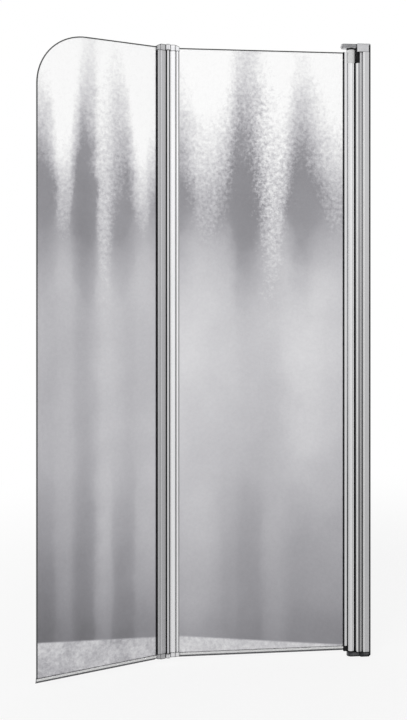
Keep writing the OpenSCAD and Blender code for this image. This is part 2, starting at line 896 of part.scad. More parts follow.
// End cap of a fold profile: Z = 0 is the end of the profile, and the glass ends at Z = cap_cover
module fold_cap(beyond) {
    h = cap_cover + beyond;
    start = fold_gap / 2;
    half = fold_t / 2 + cap_lip;
    leg_half = leg_t / 2 + cap_lip;
    difference() {
        intersection() {
            between(0, h) {
                soft_slab(start, fold_box, -half, half, fold_edge_r);
                soft_slab(fold_slot, fold_end, -leg_half, leg_half, profile_wall / 2);
            }
            through(fold_t) polygon([[start, 0], [fold_end, 0], [fold_end, cap_cover + cap_skin],
                [fold_box, h], [start + cap_bevel, h], [start, h - cap_bevel]]);
        }
        translate([fold_glass - glass_gap, -glass_t / 2 - glass_gap, -past])
            cube([fold_end, glass_t + 2 * glass_gap, cap_cover + glass_gap + past]);
        translate([0, 0, h]) at_fold_port() flat_screw_hole(screw_l, 0);
    }
}

// The inner panel's caps have an ear over the end of the barrel, bored for the hinge pin
module fold_cap_with_ear(beyond) {
    h = cap_cover + beyond;
    difference() {
        union() {
            fold_cap(beyond);
            at_fold_axis() rod(ear_r, ear_gap, h);
        }
        at_fold_axis() {
            rod(hollow_r, -past, ear_gap);
            rod(hinge_pin_r + seat_gap, 0, h + past);
            rod(hinge_head_r + seat_gap, h - hinge_head_h - past / 2, h + past);
        }
        translate([0, 0, h]) at_fold_port() flat_screw_hole(screw_l, 0);
    }
}

// The outer panel's caps leave room for the ear
module fold_cap_round_ear(beyond) {
    difference() {
        fold_cap(beyond);
        at_fold_axis() rod(ear_r + ear_side_gap, -past, cap_cover + beyond + past);
    }
}

module at_fold_top() {
    translate([0, 0, fold_z1]) children();
}

module at_fold_bottom() {
    translate([0, 0, fold_z0]) mirror([0, 0, 1]) children();
}

module inner_fold_top_cap() {
    color("silver") inner_frame() at_fold_top() fold_cap_with_ear(cap_rise);
}

module inner_fold_bottom_cap() {
    color("silver") inner_frame() at_fold_bottom() fold_cap_with_ear(inner_cap_drop);
}

module outer_fold_top_cap() {
    color("silver") outer_frame() at_fold_top() fold_cap_round_ear(cap_rise);
}

module outer_fold_bottom_cap() {
    color("silver") outer_frame() at_fold_bottom() fold_cap_round_ear(outer_cap_drop);
}

module fold_cap_screw(beyond) {
    translate([0, 0, cap_cover + beyond]) at_fold_port() flat_screw(screw_l);
}

module inner_cap_screws() {
    color("lightgray") inner_frame() {
        at_fold_top() fold_cap_screw(cap_rise);
        at_fold_bottom() fold_cap_screw(inner_cap_drop);
    }
}

module outer_cap_screws() {
    color("lightgray") outer_frame() {
        at_fold_top() fold_cap_screw(cap_rise);
        at_fold_bottom() fold_cap_screw(outer_cap_drop);
    }
}

// Pin from the ear into the barrel, with its head sunk in the ear
module hinge_pin(beyond) {
    top = cap_cover + beyond - past / 2;
    at_fold_axis() {
        rod(hinge_pin_r, -hinge_grip, top - weld);
        rod(hinge_head_r, top - hinge_head_h, top);
    }
}

module upper_hinge_pin() {
    color("silver") inner_frame() at_fold_top() hinge_pin(cap_rise);
}

module lower_hinge_pin() {
    color("silver") inner_frame() at_fold_bottom() hinge_pin(inner_cap_drop);
}

module hinge_bush() {
    at_fold_axis()
    difference() {
        union() {
            rod(barrel_bore_r - seat_gap, -hinge_grip - past, weld);
            rod((barrel_r + barrel_bore_r) / 2, 0, hinge_collar);
        }
        rod(hinge_pin_r + pin_play, -hinge_grip - 2 * past, hinge_collar + past);
    }
}

module hinge_bushes() {
    color("ivory") outer_frame() {
        at_fold_top() hinge_bush();
        at_fold_bottom() hinge_bush();
    }
}

wall_profile();
wall_seal_strips();
adjuster_profile();
adjuster_screws();
screw_cover_caps();
jamb_seal();
wall_top_cap();
adjuster_top_plug();
wall_foot_bracket();
wall_end_screws();
upper_pivot_pin();
lower_pivot_pin();
pivot_post();
post_top_block();
upper_pivot_bush();
lower_pivot_bush();
post_channel_plug();
post_rubber();
inner_glass();
inner_drip_seal();
inner_fold_rubber();
inner_fold_profile();
inner_fold_top_cap();
inner_fold_bottom_cap();
inner_cap_screws();
upper_hinge_pin();
lower_hinge_pin();
outer_fold_profile();
hinge_bushes();
fold_seal();
outer_fold_rubber();
outer_glass();
outer_drip_seal();
outer_fold_top_cap();
outer_fold_bottom_cap();
outer_cap_screws();
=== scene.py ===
# %% [markdown]
# # A folding bath screen
# Two panes of finely textured glass are hinged to each other, and the inner one turns on a round post beside
# a wall profile. The solids come ready from the CAD frame. This file gives them their finishes, rounds the cast
# pieces, makes the panes with ground edges and the clear drip seals, and sets up a plain studio with a camera.

import json
import math

import bpy
import bmesh
from mathutils import Matrix, Vector

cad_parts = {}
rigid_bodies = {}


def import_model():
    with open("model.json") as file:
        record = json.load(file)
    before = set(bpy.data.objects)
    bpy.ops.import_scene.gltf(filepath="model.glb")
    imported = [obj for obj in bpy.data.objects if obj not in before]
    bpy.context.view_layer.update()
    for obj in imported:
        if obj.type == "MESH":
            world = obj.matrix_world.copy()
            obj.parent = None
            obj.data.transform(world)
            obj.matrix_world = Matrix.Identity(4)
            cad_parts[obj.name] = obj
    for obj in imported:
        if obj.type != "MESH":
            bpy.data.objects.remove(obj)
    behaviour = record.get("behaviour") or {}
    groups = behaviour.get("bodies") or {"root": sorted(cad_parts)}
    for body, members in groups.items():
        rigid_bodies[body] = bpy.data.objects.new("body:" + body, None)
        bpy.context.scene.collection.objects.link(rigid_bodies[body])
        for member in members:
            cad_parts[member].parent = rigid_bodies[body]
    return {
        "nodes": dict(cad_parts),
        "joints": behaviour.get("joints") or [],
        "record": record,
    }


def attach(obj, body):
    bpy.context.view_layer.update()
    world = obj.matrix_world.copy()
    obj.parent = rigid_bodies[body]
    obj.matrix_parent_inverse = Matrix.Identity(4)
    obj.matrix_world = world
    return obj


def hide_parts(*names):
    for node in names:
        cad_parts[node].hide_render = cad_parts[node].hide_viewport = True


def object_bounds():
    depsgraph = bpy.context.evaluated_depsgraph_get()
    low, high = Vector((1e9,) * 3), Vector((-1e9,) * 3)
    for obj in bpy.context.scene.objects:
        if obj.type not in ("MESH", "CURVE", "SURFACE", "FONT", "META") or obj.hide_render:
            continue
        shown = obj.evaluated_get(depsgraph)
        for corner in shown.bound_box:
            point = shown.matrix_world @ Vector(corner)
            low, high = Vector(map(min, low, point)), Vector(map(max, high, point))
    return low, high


for thing in list(bpy.data.objects):
    bpy.data.objects.remove(thing)

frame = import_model()
nodes = frame["nodes"]
cad_box = [list(corner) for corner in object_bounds()]
print("CAD box in metres:", [[round(v, 4) for v in corner] for corner in cad_box])

# %% [markdown]
# ## Camera
# The view is from two metres away, a little to the left of the screen's middle and above it. The camera could be
# tilted down to the middle, but then the uprights would run together. So it looks level, and its lens is shifted
# down instead. A lens of 45 mm on a sensor of 36 mm gives the right perspective: a longer lens from further away
# would make the turned panel too narrow.

# %% Camera
EYE = (-0.5876, -2.0206, 0.825)
TURN_TO_WALL = math.radians(-5.8)
LENS_MM, SENSOR_MM = 45, 36
SHIFT_DOWN = -0.0964

camera_data = bpy.data.cameras.new("level_camera")
camera_data.lens = LENS_MM
camera_data.sensor_width = SENSOR_MM
camera_data.shift_y = SHIFT_DOWN
camera = bpy.data.objects.new("level_camera", camera_data)
camera.location = EYE
camera.rotation_euler = (math.radians(90), 0, TURN_TO_WALL)
bpy.context.scene.collection.objects.link(camera)
bpy.context.scene.camera = camera
bpy.context.scene.view_settings.view_transform = "Standard"
print("camera at", [round(v, 3) for v in camera.location])

# %% [markdown]
# ## The panels' own directions
# The wall is the plane X = 0 and the screen reaches towards -X. The inner panel lies along X. The outer panel is
# turned about the fold axis, so its pieces are drawn in a straight panel first and then turned, as the fold does.
# `along` is the place on a straight panel, with the same zero as X, and `across` runs through the glass to the
# far side. The fold's range starts where the panels are in line, so its lower end gives the angle.

# %% From a straight panel to its place
MM = 0.001
fold = next(joint for joint in frame["joints"] if joint["name"] == "fold")
FOLD_AXIS = Vector(fold["pos_m"])
FOLD_ANGLE = math.radians(-fold["range_deg"][0])
to_outer = Matrix.Translation(FOLD_AXIS) @ Matrix.Rotation(FOLD_ANGLE, 4, "Z") @ Matrix.Translation(-FOLD_AXIS)
PANEL_PLACE = {"inner": Matrix.Identity(4), "outer": to_outer}


def straight_box(name, panel):
    """The lowest and highest corner of a CAD node, once its panel is laid straight."""
    back = PANEL_PLACE[panel].inverted()
    spots = [back @ vertex.co for vertex in nodes[name].data.vertices]
    return [Vector([pick(spot[axis] for spot in spots) for axis in range(3)]) for pick in (min, max)]


PANE_BOX = {panel: straight_box(panel + "_glass", panel) for panel in PANEL_PLACE}
for panel, (low, high) in PANE_BOX.items():
    print(panel, "pane, straight:", [round(v, 4) for v in (*low, *high)])

# %% [markdown]
# ## Node helpers
# Every finish is a small tree of nodes. `add` makes one node with its settings and input values, and `wire` joins
# two sockets. Most of the work is arithmetic on the place: `calculate` takes sockets and plain numbers alike, and so
# do the ranges of `fit`. Patterns read Object coordinates, which are metres in the screen's own frame, so a noise
# scale of 400 gives features of a few millimetres.

# %% Nodes and wires
def add(tree, kind, settings=None, **inputs):
    """A node with its settings, and input values given by socket name with _ for a space."""
    made = tree.nodes.new(kind)
    for key, value in (settings or {}).items():
        setattr(made, key, value)
    for key, value in inputs.items():
        made.inputs[key.replace("_", " ")].default_value = value
    return made


def wire(tree, start, end):
    """A link from an output to an input."""
    tree.links.new(start, end)


def feed(tree, socket, value):
    """Gives a socket a link or a plain number."""
    if isinstance(value, bpy.types.NodeSocket):
        wire(tree, value, socket)
    else:
        socket.default_value = value


def calculate(tree, operation, *values):
    """One Math node, whose inputs are sockets or numbers."""
    made = add(tree, "ShaderNodeMath", {"operation": operation})
    for socket, value in zip(made.inputs, values):
        feed(tree, socket, value)
    return made.outputs[0]


# %% Places, noise and ranges
def place(tree, scale=(1, 1, 1)):
    """Object coordinates, scaled."""
    where = add(tree, "ShaderNodeTexCoord")
    mapping = add(tree, "ShaderNodeMapping", Scale=scale)
    wire(tree, where.outputs["Object"], mapping.inputs["Vector"])
    return mapping.outputs["Vector"]


def axes(tree, vector):
    """The three parts of a vector."""
    split = add(tree, "ShaderNodeSeparateXYZ")
    wire(tree, vector, split.inputs["Vector"])
    return split.outputs["X"], split.outputs["Y"], split.outputs["Z"]


def noise(tree, vector, scale, detail=3.0, roughness=0.5):
    """Soft random values from 0 to 1, most of them near 0.5."""
    made = add(tree, "ShaderNodeTexNoise", Scale=scale, Detail=detail, Roughness=roughness)
    wire(tree, vector, made.inputs["Vector"])
    return made.outputs["Fac"]


def fit(tree, value, low, high, to_low, to_high, smooth=False):
    """The value moved from one range to another, and held at its ends."""
    kind = "SMOOTHSTEP" if smooth else "LINEAR"
    made = add(tree, "ShaderNodeMapRange", {"interpolation_type": kind, "clamp": True})
    for key, number in (("From Min", low), ("From Max", high), ("To Min", to_low), ("To Max", to_high)):
        feed(tree, made.inputs[key], number)
    wire(tree, value, made.inputs["Value"])
    return made.outputs["Result"]


# %% Colours, relief and a new finish
def scale_colour(tree, colour, factor):
    """A colour times a number."""
    made = add(tree, "ShaderNodeVectorMath", {"operation": "SCALE"})
    wire(tree, colour, made.inputs[0])
    feed(tree, made.inputs["Scale"], factor)
    return made.outputs[0]


def blend_colours(tree, factor, first, second):
    """A mix of two colours, each a socket or a value from 0 to 1."""
    made = add(tree, "ShaderNodeMix", {"data_type": "RGBA"})
    wire(tree, factor, made.inputs["Factor"])
    for socket, colour in ((made.inputs[6], first), (made.inputs[7], second)):
        feed(tree, socket, colour if isinstance(colour, bpy.types.NodeSocket) else (*colour, 1))
    return made.outputs[2]


def relief(tree, shader, height, distance, strength):
    """A bump of the shader's normal. The distance is in metres."""
    bump = add(tree, "ShaderNodeBump", Strength=strength, Distance=distance)
    wire(tree, height, bump.inputs["Height"])
    wire(tree, bump.outputs["Normal"], shader.inputs["Normal"])


def new_finish(name, **inputs):
    """A material with one Principled shader. Returns the material, its tree and the shader."""
    finish = bpy.data.materials.new(name)
    finish.use_nodes = True
    tree = finish.node_tree
    tree.nodes.clear()
    shader = add(tree, "ShaderNodeBsdfPrincipled", **inputs)
    output = add(tree, "ShaderNodeOutputMaterial")
    wire(tree, shader.outputs["BSDF"], output.inputs["Surface"])
    return finish, tree, shader


# %% [markdown]
# ## Painted shade in the gaps
# The slots between the profiles are a millimetre or two wide, and on the real screen they are thin dark lines. An
# Ambient Occlusion node measures how closed in a point is, and paints shade into the metal's colour there. A second
# way would be to paint the lines by their place, but this one also finds the gaps in the caps.

# %% Paint shade into closed-in places
GAP_REACH = 6 * MM
GAP_DARKEST = 0.03
CLOSED_IN, OPEN = 0.50, 0.95


def paint_gap_shade(tree, colour, reach=GAP_REACH, darkest=GAP_DARKEST):
    """The colour with painted shade where less than the OPEN share of the sky is seen within the reach."""
    sky = add(tree, "ShaderNodeAmbientOcclusion", {"samples": 8}, Distance=reach)
    return scale_colour(tree, colour, fit(tree, sky.outputs["AO"], CLOSED_IN, OPEN, darkest, 1))


# %% [markdown]
# ## Painted dark reflections on the edges
# On a polished casting the rounded edges mirror the dark parts of the room, so each face has a thin dark outline.
# Here that outline is a painted reflection. A Bevel node gives the normal that a rounded edge would have. Where it
# leans away from the true normal, an edge is near, and the colour is painted darker.

# %% Paint dark reflections on the edges
AT_EDGE, ON_FACE = 0.92, 0.998


def paint_edge_reflection(tree, colour, width, darkest):
    """The colour with a painted dark reflection where the rounded normal and the true one agree less than on a face.
    """
    rounded = add(tree, "ShaderNodeBevel", {"samples": 6}, Radius=width)
    true = add(tree, "ShaderNodeNewGeometry")
    agreement = add(tree, "ShaderNodeVectorMath", {"operation": "DOT_PRODUCT"})
    wire(tree, rounded.outputs["Normal"], agreement.inputs[0])
    wire(tree, true.outputs["True Normal"], agreement.inputs[1])
    return scale_colour(tree, colour, fit(tree, agreement.outputs["Value"], AT_EDGE, ON_FACE, darkest, 1))


# %% [markdown]
# ## Bright aluminium
# The profiles are extruded and polished, so they carry faint lines along their length from the die. Noise that is
# stretched a few hundred times along Z gives these lines. They change the roughness and the relief a little, and a
# slower noise stands for handling marks. Towards the foot, dried splashes make the metal duller. The adjuster
# profile's colour is darker, as painted shade, and darker still low down. Its slanted corner, its rib and the bead
# of the wall profile stand proud and carry painted highlights. Beside the hinge barrel two lines of painted shade
# stay dark, where it dips into the hollow. Such lines could be pieces of their own, but as stripes in the finish
# they cost no geometry.

# %% Bright aluminium
STRIPE_EDGE = 0.15 * MM
# Heights in metres: where the splashes end, where the painted shade in the gaps gets lighter and where the halves of
# the metal meet
SPLASHED_UP_TO = 0.25
GAP_SHADE_FADES_BETWEEN = (0.05, 0.65)
HALVES_MEET_BETWEEN = (0.35, 1.0)


def extruded_metal(name, light, dark, smoothness=0.16, stripes=(), top_gap_shade=GAP_DARKEST, low_high=(1, 1)):
    """`stripes` holds (from, to, level) along X, in millimetres, of lines of painted highlight and painted shade that
    are brighter or darker than the rest, `top_gap_shade` is how much light the gaps keep under their painted shade at
    the upper end, and `low_high` makes the metal itself darker or lighter in its lower and upper half."""
    finish, tree, shader = new_finish(name, Metallic=1)
    sideways, _, height = axes(tree, place(tree))
    lines = noise(tree, place(tree, (1, 1, 0.004)), 1400, 2)
    marks = noise(tree, place(tree, (1, 1, 0.25)), 22, 4)
    splashes = noise(tree, place(tree), 160, 4, 0.7)
    shade = calculate(tree, "MULTIPLY_ADD", lines, 0.5, calculate(tree, "MULTIPLY", marks, 0.5))
    colour = blend_colours(tree, fit(tree, shade, 0.3, 0.7, 0, 1), dark, light)
    colour = scale_colour(tree, colour, fit(tree, height, *HALVES_MEET_BETWEEN, *low_high))
    # Painted highlights and painted shade as stripes along the metal
    for start, stop, brightness in stripes:
        inside = calculate(tree, "MULTIPLY",
                           fit(tree, sideways, start * MM - STRIPE_EDGE, start * MM + STRIPE_EDGE, 0, 1),
                           fit(tree, sideways, stop * MM - STRIPE_EDGE, stop * MM + STRIPE_EDGE, 1, 0))
        colour = blend_colours(tree, inside, colour, (brightness,) * 3)
    # Painted shade in the gaps, lighter towards the top
    darkest = fit(tree, height, *GAP_SHADE_FADES_BETWEEN, GAP_DARKEST, top_gap_shade)
    wire(tree, paint_gap_shade(tree, colour, darkest=darkest), shader.inputs["Base Color"])
    dull = calculate(tree, "MULTIPLY", fit(tree, height, 0, SPLASHED_UP_TO, 0.14, 0),
                     fit(tree, splashes, 0.45, 0.7, 0, 1))
    rough = calculate(tree, "ADD", fit(tree, shade, 0.3, 0.7, smoothness + 0.06, smoothness), dull)
    wire(tree, rough, shader.inputs["Roughness"])
    relief(tree, shader, lines, 0.04 * MM, 0.35)
    return finish


# %% The profiles' finishes
# Stripes of painted highlight and painted shade as (from, to, level), in millimetres along X
WALL_BEAD_HIGHLIGHT = (-17.6, -13.6, 0.95)
SLANTED_CORNER_HIGHLIGHT, ADJUSTER_RIB_HIGHLIGHT = (-32.2, -28.4, 0.95), (-23.1, -20.9, 0.95)
# Two lines of painted shade beside the hinge barrel, where it dips into the hollow
HOLLOW_PAINTED_SHADE = [(-467.4, -464.9, 0.04), (-460.7, -458.0, 0.04)]

post_metal = extruded_metal("post_aluminium", (0.93, 0.93, 0.94), (0.87, 0.87, 0.88), top_gap_shade=0.8)
wall_metal = extruded_metal("wall_aluminium", (0.75, 0.75, 0.76), (0.67, 0.67, 0.68), 0.2, [WALL_BEAD_HIGHLIGHT])
# The adjuster's darker colours are painted shade from the lip of the wall profile
shaded_adjuster_metal = extruded_metal("adjuster_aluminium_painted_shade", (0.31, 0.31, 0.32), (0.22, 0.22, 0.23), 0.22,
                                [SLANTED_CORNER_HIGHLIGHT, ADJUSTER_RIB_HIGHLIGHT], low_high=(0.70, 1.65))
inner_fold_metal = extruded_metal("inner_fold_aluminium", (0.95, 0.95, 0.96), (0.88, 0.88, 0.90),
                                  stripes=HOLLOW_PAINTED_SHADE)
outer_fold_metal = extruded_metal("outer_fold_aluminium", (0.84, 0.84, 0.86), (0.76, 0.76, 0.78),
                                  stripes=HOLLOW_PAINTED_SHADE)
for metal in (post_metal, wall_metal, shaded_adjuster_metal, inner_fold_metal, outer_fold_metal):
    print("extruded finish:", metal.name, len(metal.node_tree.nodes), "nodes")

# %% [markdown]
# ## Cast chrome
# The caps and the bracket are cast, polished and plated. Their surface is smoother than the profiles', with a soft
# waviness from polishing and a few fine pits, so the reflections bend a little. The bracket at the foot is darker:
# its colour is a painted reflection of the shade below the screen. Chrome alone would need a whole room to mirror,
# so the dark outlines of the faces are painted reflections in the finish, and the gaps get painted shade.

# %% Cast chrome
CAST_GAP_REACH = 3 * MM


def cast_chrome(name, light, dark, reflection_width, reflection_level):
    """`reflection_width` and `reflection_level` are the width of the painted dark reflection round each face and how
    light it is.
    """
    finish, tree, shader = new_finish(name, Metallic=1)
    waves = noise(tree, place(tree), 90, 2)
    pits = noise(tree, place(tree), 1500, 3, 0.7)
    colour = blend_colours(tree, fit(tree, waves, 0.35, 0.65, 0, 1), dark, light)
    # Painted dark reflections round each face, then painted shade in the gaps
    colour = paint_edge_reflection(tree, colour, reflection_width, reflection_level)
    wire(tree, paint_gap_shade(tree, colour, CAST_GAP_REACH, 0.1), shader.inputs["Base Color"])
    wire(tree, fit(tree, pits, 0.3, 0.75, 0.10, 0.22), shader.inputs["Roughness"])
    relief(tree, shader, calculate(tree, "MULTIPLY_ADD", pits, 0.08, waves), 0.6 * MM, 0.25)
    return finish


cap_chrome = cast_chrome("cap_chrome", (0.74, 0.74, 0.75), (0.64, 0.64, 0.66), 3.2 * MM, 0.25)
fold_cap_chrome = cast_chrome("fold_cap_chrome", (0.88, 0.88, 0.89), (0.80, 0.80, 0.82), 3.2 * MM, 0.04)
# The foot bracket's dark colour is a painted reflection of the shade below the screen
foot_chrome_painted_reflection = cast_chrome("foot_chrome_painted_reflection", (0.18, 0.18, 0.185), (0.06, 0.06, 0.065), 6 * MM, 0.02)
print("cast finishes:", cap_chrome.name, fold_cap_chrome.name, foot_chrome_painted_reflection.name)

# %% [markdown]
# ## Screws and pins
# Turned steel is a little duller than the plated castings and shows fine tool marks. Rings round each screw's own
# axis would be truer, but small noise on all axes is enough for pieces of a few millimetres, and the recesses get
# painted shade.

# %% Screw steel
screw_steel, tree, shader = new_finish("screw_steel", Metallic=1)
turned = noise(tree, place(tree), 2200, 2)
colour = blend_colours(tree, turned, (0.52, 0.52, 0.53), (0.72, 0.72, 0.72))
# Painted shade in the recesses
wire(tree, paint_gap_shade(tree, colour, 1.5 * MM), shader.inputs["Base Color"])
wire(tree, fit(tree, turned, 0.3, 0.7, 0.22, 0.38), shader.inputs["Roughness"])
relief(tree, shader, turned, 0.03 * MM, 0.4)
print("finish:", screw_steel.name)

# %% [markdown]
# ## Rubber, plastic and nylon
# The gaskets are extruded black rubber with a dusty bloom and lines along their length. The gasket in the inner
# fold profile is pale grey. The plugs are moulded plastic with a fine grain, and the bushes and the post's pale
# block are moulded too, and a little waxy. One function makes them all, from two colours and the size of the grain.

# %% Rubber, plastics and nylon
def moulded(name, base, bloom, scale, roughness, grain, stretch=1.0, **inputs):
    """`scale` is the size of the noise, `grain` its relief and `stretch` less than 1 draws it out along Z."""
    finish, tree, shader = new_finish(name, **inputs)
    cloud = noise(tree, place(tree, (1, 1, stretch)), scale / 8, 3)
    fine = noise(tree, place(tree, (1, 1, stretch)), scale, 3, 0.6)
    wire(tree, blend_colours(tree, fit(tree, cloud, 0.35, 0.7, 0, 1), base, bloom), shader.inputs["Base Color"])
    wire(tree, fit(tree, fine, 0.3, 0.7, roughness - 0.06, roughness + 0.08), shader.inputs["Roughness"])
    relief(tree, shader, fine, grain, 0.5)
    return finish


LOW_SHEEN = {"Specular_IOR_Level": 0.2}
black_rubber = moulded("black_rubber", (0.006, 0.006, 0.007), (0.016, 0.016, 0.017), 1800, 0.62, 0.06 * MM, 0.02,
                       **LOW_SHEEN)
grey_rubber = moulded("grey_rubber", (0.42, 0.42, 0.43), (0.52, 0.52, 0.53), 1800, 0.55, 0.06 * MM, 0.02)
black_plastic = moulded("black_plastic", (0.007, 0.007, 0.008), (0.015, 0.015, 0.016), 2400, 0.26, 0.04 * MM,
                        **LOW_SHEEN)
pale_plastic = moulded("pale_plastic", (0.72, 0.72, 0.72), (0.82, 0.82, 0.82), 2000, 0.30, 0.03 * MM)
white_nylon = moulded("white_nylon", (0.80, 0.79, 0.74), (0.88, 0.87, 0.83), 1600, 0.40, 0.04 * MM,
                      Subsurface_Weight=0.15, Subsurface_Radius=(2 * MM,) * 3)
print("moulded finishes:", [m.name for m in (black_rubber, grey_rubber, black_plastic, pale_plastic, white_nylon)])

# %% [markdown]
# ## Clear vinyl
# The drip seals are clear vinyl that has gone milky. The clip on the glass gathers light and looks bright white,
# while its base and the soft fin lie in shade, which is painted dark into their colour, so from the front a seal is a
# white line over a dark one. Fully clear vinyl would show neither line, so the finish is mostly milk and changes to
# painted shade at the pane's lower edge.

# %% Clear vinyl
SHADED_BELOW = PANE_BOX["inner"][0].z + 1.4 * MM
SHADE_EDGE_SOFT = 0.3 * MM
clear_vinyl, tree, shader = new_finish("clear_vinyl", IOR=1.5, Transmission_Weight=0.12)
milk = noise(tree, place(tree), 60, 3)
clip_colour = blend_colours(tree, milk, (0.96, 0.96, 0.96), (1.0, 1.0, 1.0))
# The fin's dark colour is painted shade
fin_painted_shade = blend_colours(tree, milk, (0.07, 0.07, 0.08), (0.13, 0.13, 0.14))
height = axes(tree, place(tree))[2]
fin_shade_part = fit(tree, height, SHADED_BELOW - SHADE_EDGE_SOFT, SHADED_BELOW + SHADE_EDGE_SOFT, 1, 0, smooth=True)
wire(tree, blend_colours(tree, fin_shade_part, clip_colour, fin_painted_shade), shader.inputs["Base Color"])
wire(tree, fit(tree, milk, 0.3, 0.7, 0.18, 0.32), shader.inputs["Roughness"])
relief(tree, shader, noise(tree, place(tree), 900, 2), 0.03 * MM, 0.3)
print("vinyl is smoky below", round(SHADED_BELOW, 4))

# %% [markdown]
# ## Obscure glass
# The panes are toughened glass with a fine, sugary texture on one face, which blurs all that is behind it. The light
# and shade a pane passes and mirrors is painted into its colour. It is painted nearly white at the top, where the
# light comes in, and grey below. The border between the two rises and falls in soft tongues, and it sparkles,
# because there each grain of the texture bends the light a little to the bright or to the dark side; that sparkle is
# painted too. A picture could carry such a pattern, but it would be fixed in size. Here smooth curves carry it:
# over the distance along the panel one gives the border's height and two give paler and darker columns, high up and
# at the foot, and over the height one gives the grey. The coordinates are bent a little by a slow noise, so nothing
# looks ruled. The shader passes all light and scatters it, as the real texture does.

# %% Curves and peaks
def follow(tree, value, points):
    """The value looked up on a smooth curve through (place, level) points."""
    first, last = points[0][0], points[-1][0]
    bottom, top = min(level for _, level in points), max(level for _, level in points)
    made = add(tree, "ShaderNodeFloatCurve")
    line = made.mapping.curves[0]
    spots = [((spot - first) / (last - first), (level - bottom) / (top - bottom)) for spot, level in points]
    line.points[0].location, line.points[-1].location = spots[0], spots[-1]
    for spot in spots[1:-1]:
        line.points.new(*spot)
    for point in line.points:
        point.handle_type = "AUTO_CLAMPED"
    made.mapping.update()
    wire(tree, fit(tree, value, first, last, 0, 1), made.inputs["Value"])
    return calculate(tree, "MULTIPLY_ADD", made.outputs["Value"], top - bottom, bottom)


def near(tree, value, spot, width, most, least):
    """`most` at a spot, going over smoothly to `least` at some width from it."""
    away = calculate(tree, "ABSOLUTE", calculate(tree, "SUBTRACT", value, spot))
    return fit(tree, away, 0, width, most, least, smooth=True)


def blend_numbers(tree, factor, first, second):
    """A mix of two numbers. All three are sockets."""
    made = add(tree, "ShaderNodeMix")
    for key, value in (("Factor", factor), ("A", first), ("B", second)):
        wire(tree, value, made.inputs[key])
    return made.outputs["Result"]


# %% Places on a pane
SLOW_DRIFT, QUICK_DRIFT = 0.020, 0.006
MEAN_DRIFT = (SLOW_DRIFT + QUICK_DRIFT) / 2
DRIFT_UP = 4  # times as far as along


def pane_spot(tree, panel):
    """Object coordinates, turned back so that the panel is straight."""
    turned_back = add(tree, "ShaderNodeVectorRotate", {"rotation_type": "Z_AXIS"}, Center=FOLD_AXIS,
                      Angle=-FOLD_ANGLE if panel == "outer" else 0)
    wire(tree, place(tree), turned_back.inputs["Vector"])
    return turned_back.outputs["Vector"]


def drifting(tree, spot):
    """The places along and up the pane, bent by noise."""
    along, _, up = axes(tree, spot)
    drift = calculate(tree, "MULTIPLY_ADD", noise(tree, spot, 13, 2), SLOW_DRIFT,
                      calculate(tree, "MULTIPLY", noise(tree, spot, 60, 2), QUICK_DRIFT))
    shift_up = calculate(tree, "SUBTRACT", calculate(tree, "MULTIPLY", drift, DRIFT_UP), DRIFT_UP * MEAN_DRIFT)
    return (calculate(tree, "ADD", along, calculate(tree, "SUBTRACT", drift, MEAN_DRIFT)),
            calculate(tree, "ADD", up, shift_up))


print("mean drift along and up:", round(MEAN_DRIFT, 4), round(DRIFT_UP * MEAN_DRIFT, 4))

# %% [markdown]
# ## The painted grey of the glass
# A painted shade level over the height, made lighter or darker by painted upright columns. Near the foot other
# columns take over, and towards the white top they fade. Where the border is high, the painted dark below it also
# reaches further down.

# %% Grey part
# Heights in metres: the border's mean, where the dark starts to follow it, where the foot's columns end and where
# all columns fade
BORDER_MEAN = 1.13
BELOW_BORDER = (0.45, 0.8)
FOOT_COLUMNS_END = (0.26, 0.48)
COLUMNS_FADE = (1.05, 1.3)
FOLLOWS_BORDER = 0.5


def grey_part(tree, spot, along, up, border_here, tone, columns, foot_columns):
    """How light the grey is at a place."""
    drop = calculate(tree, "MULTIPLY", calculate(tree, "SUBTRACT", border_here, BORDER_MEAN),
                     fit(tree, up, *BELOW_BORDER, 0, FOLLOWS_BORDER))
    grey = follow(tree, calculate(tree, "ADD", up, drop), tone)
    column = blend_numbers(tree, fit(tree, up, *FOOT_COLUMNS_END, 0, 1),
                           follow(tree, along, foot_columns), follow(tree, along, columns))
    column = calculate(tree, "POWER", column, fit(tree, up, *COLUMNS_FADE, 1, 0))
    cloud = fit(tree, noise(tree, spot, 9, 3), 0.3, 0.7, 0.95, 1.05)
    return calculate(tree, "MULTIPLY", calculate(tree, "MULTIPLY", grey, column), cloud)


# %% [markdown]
# ## The border and the foot
# The change from painted grey to painted white is a ramp over the height above the border. The grain of the texture
# is added to that height, so single grains flash white or dark as painted sparkle. Along the foot the pane is
# painted paler, as painted light, below an edge that slopes a little.

# %% Light part and foot
# Heights in metres above the border and above the strip's edge over which the level changes
BORDER_RAMP = (-0.125, 0.105)
STRIP_EDGE = (-2 * MM, 2.5 * MM)
STRIP_GRAIN = 0.8


def white_share(tree, along, up, border_here, grain, softness, sparkle):
    """0 in the grey part, 1 in the white part."""
    above = calculate(tree, "DIVIDE", calculate(tree, "SUBTRACT", up, border_here), near(tree, along, *softness))
    above = calculate(tree, "MULTIPLY_ADD", grain, near(tree, along, *sparkle), above)
    return fit(tree, above, *BORDER_RAMP, 0, 1)


def foot_share(tree, spot, strip):
    """1 below the upper edge of the pale strip, a straight line through two (place, height) points."""
    along, _, up = axes(tree, spot)
    (start, start_height), (stop, stop_height) = strip
    slope = (stop_height - start_height) / (stop - start)
    edge = calculate(tree, "MULTIPLY_ADD", along, slope, start_height - slope * start)
    return fit(tree, calculate(tree, "SUBTRACT", up, edge), *STRIP_EDGE, 1, 0, smooth=True)


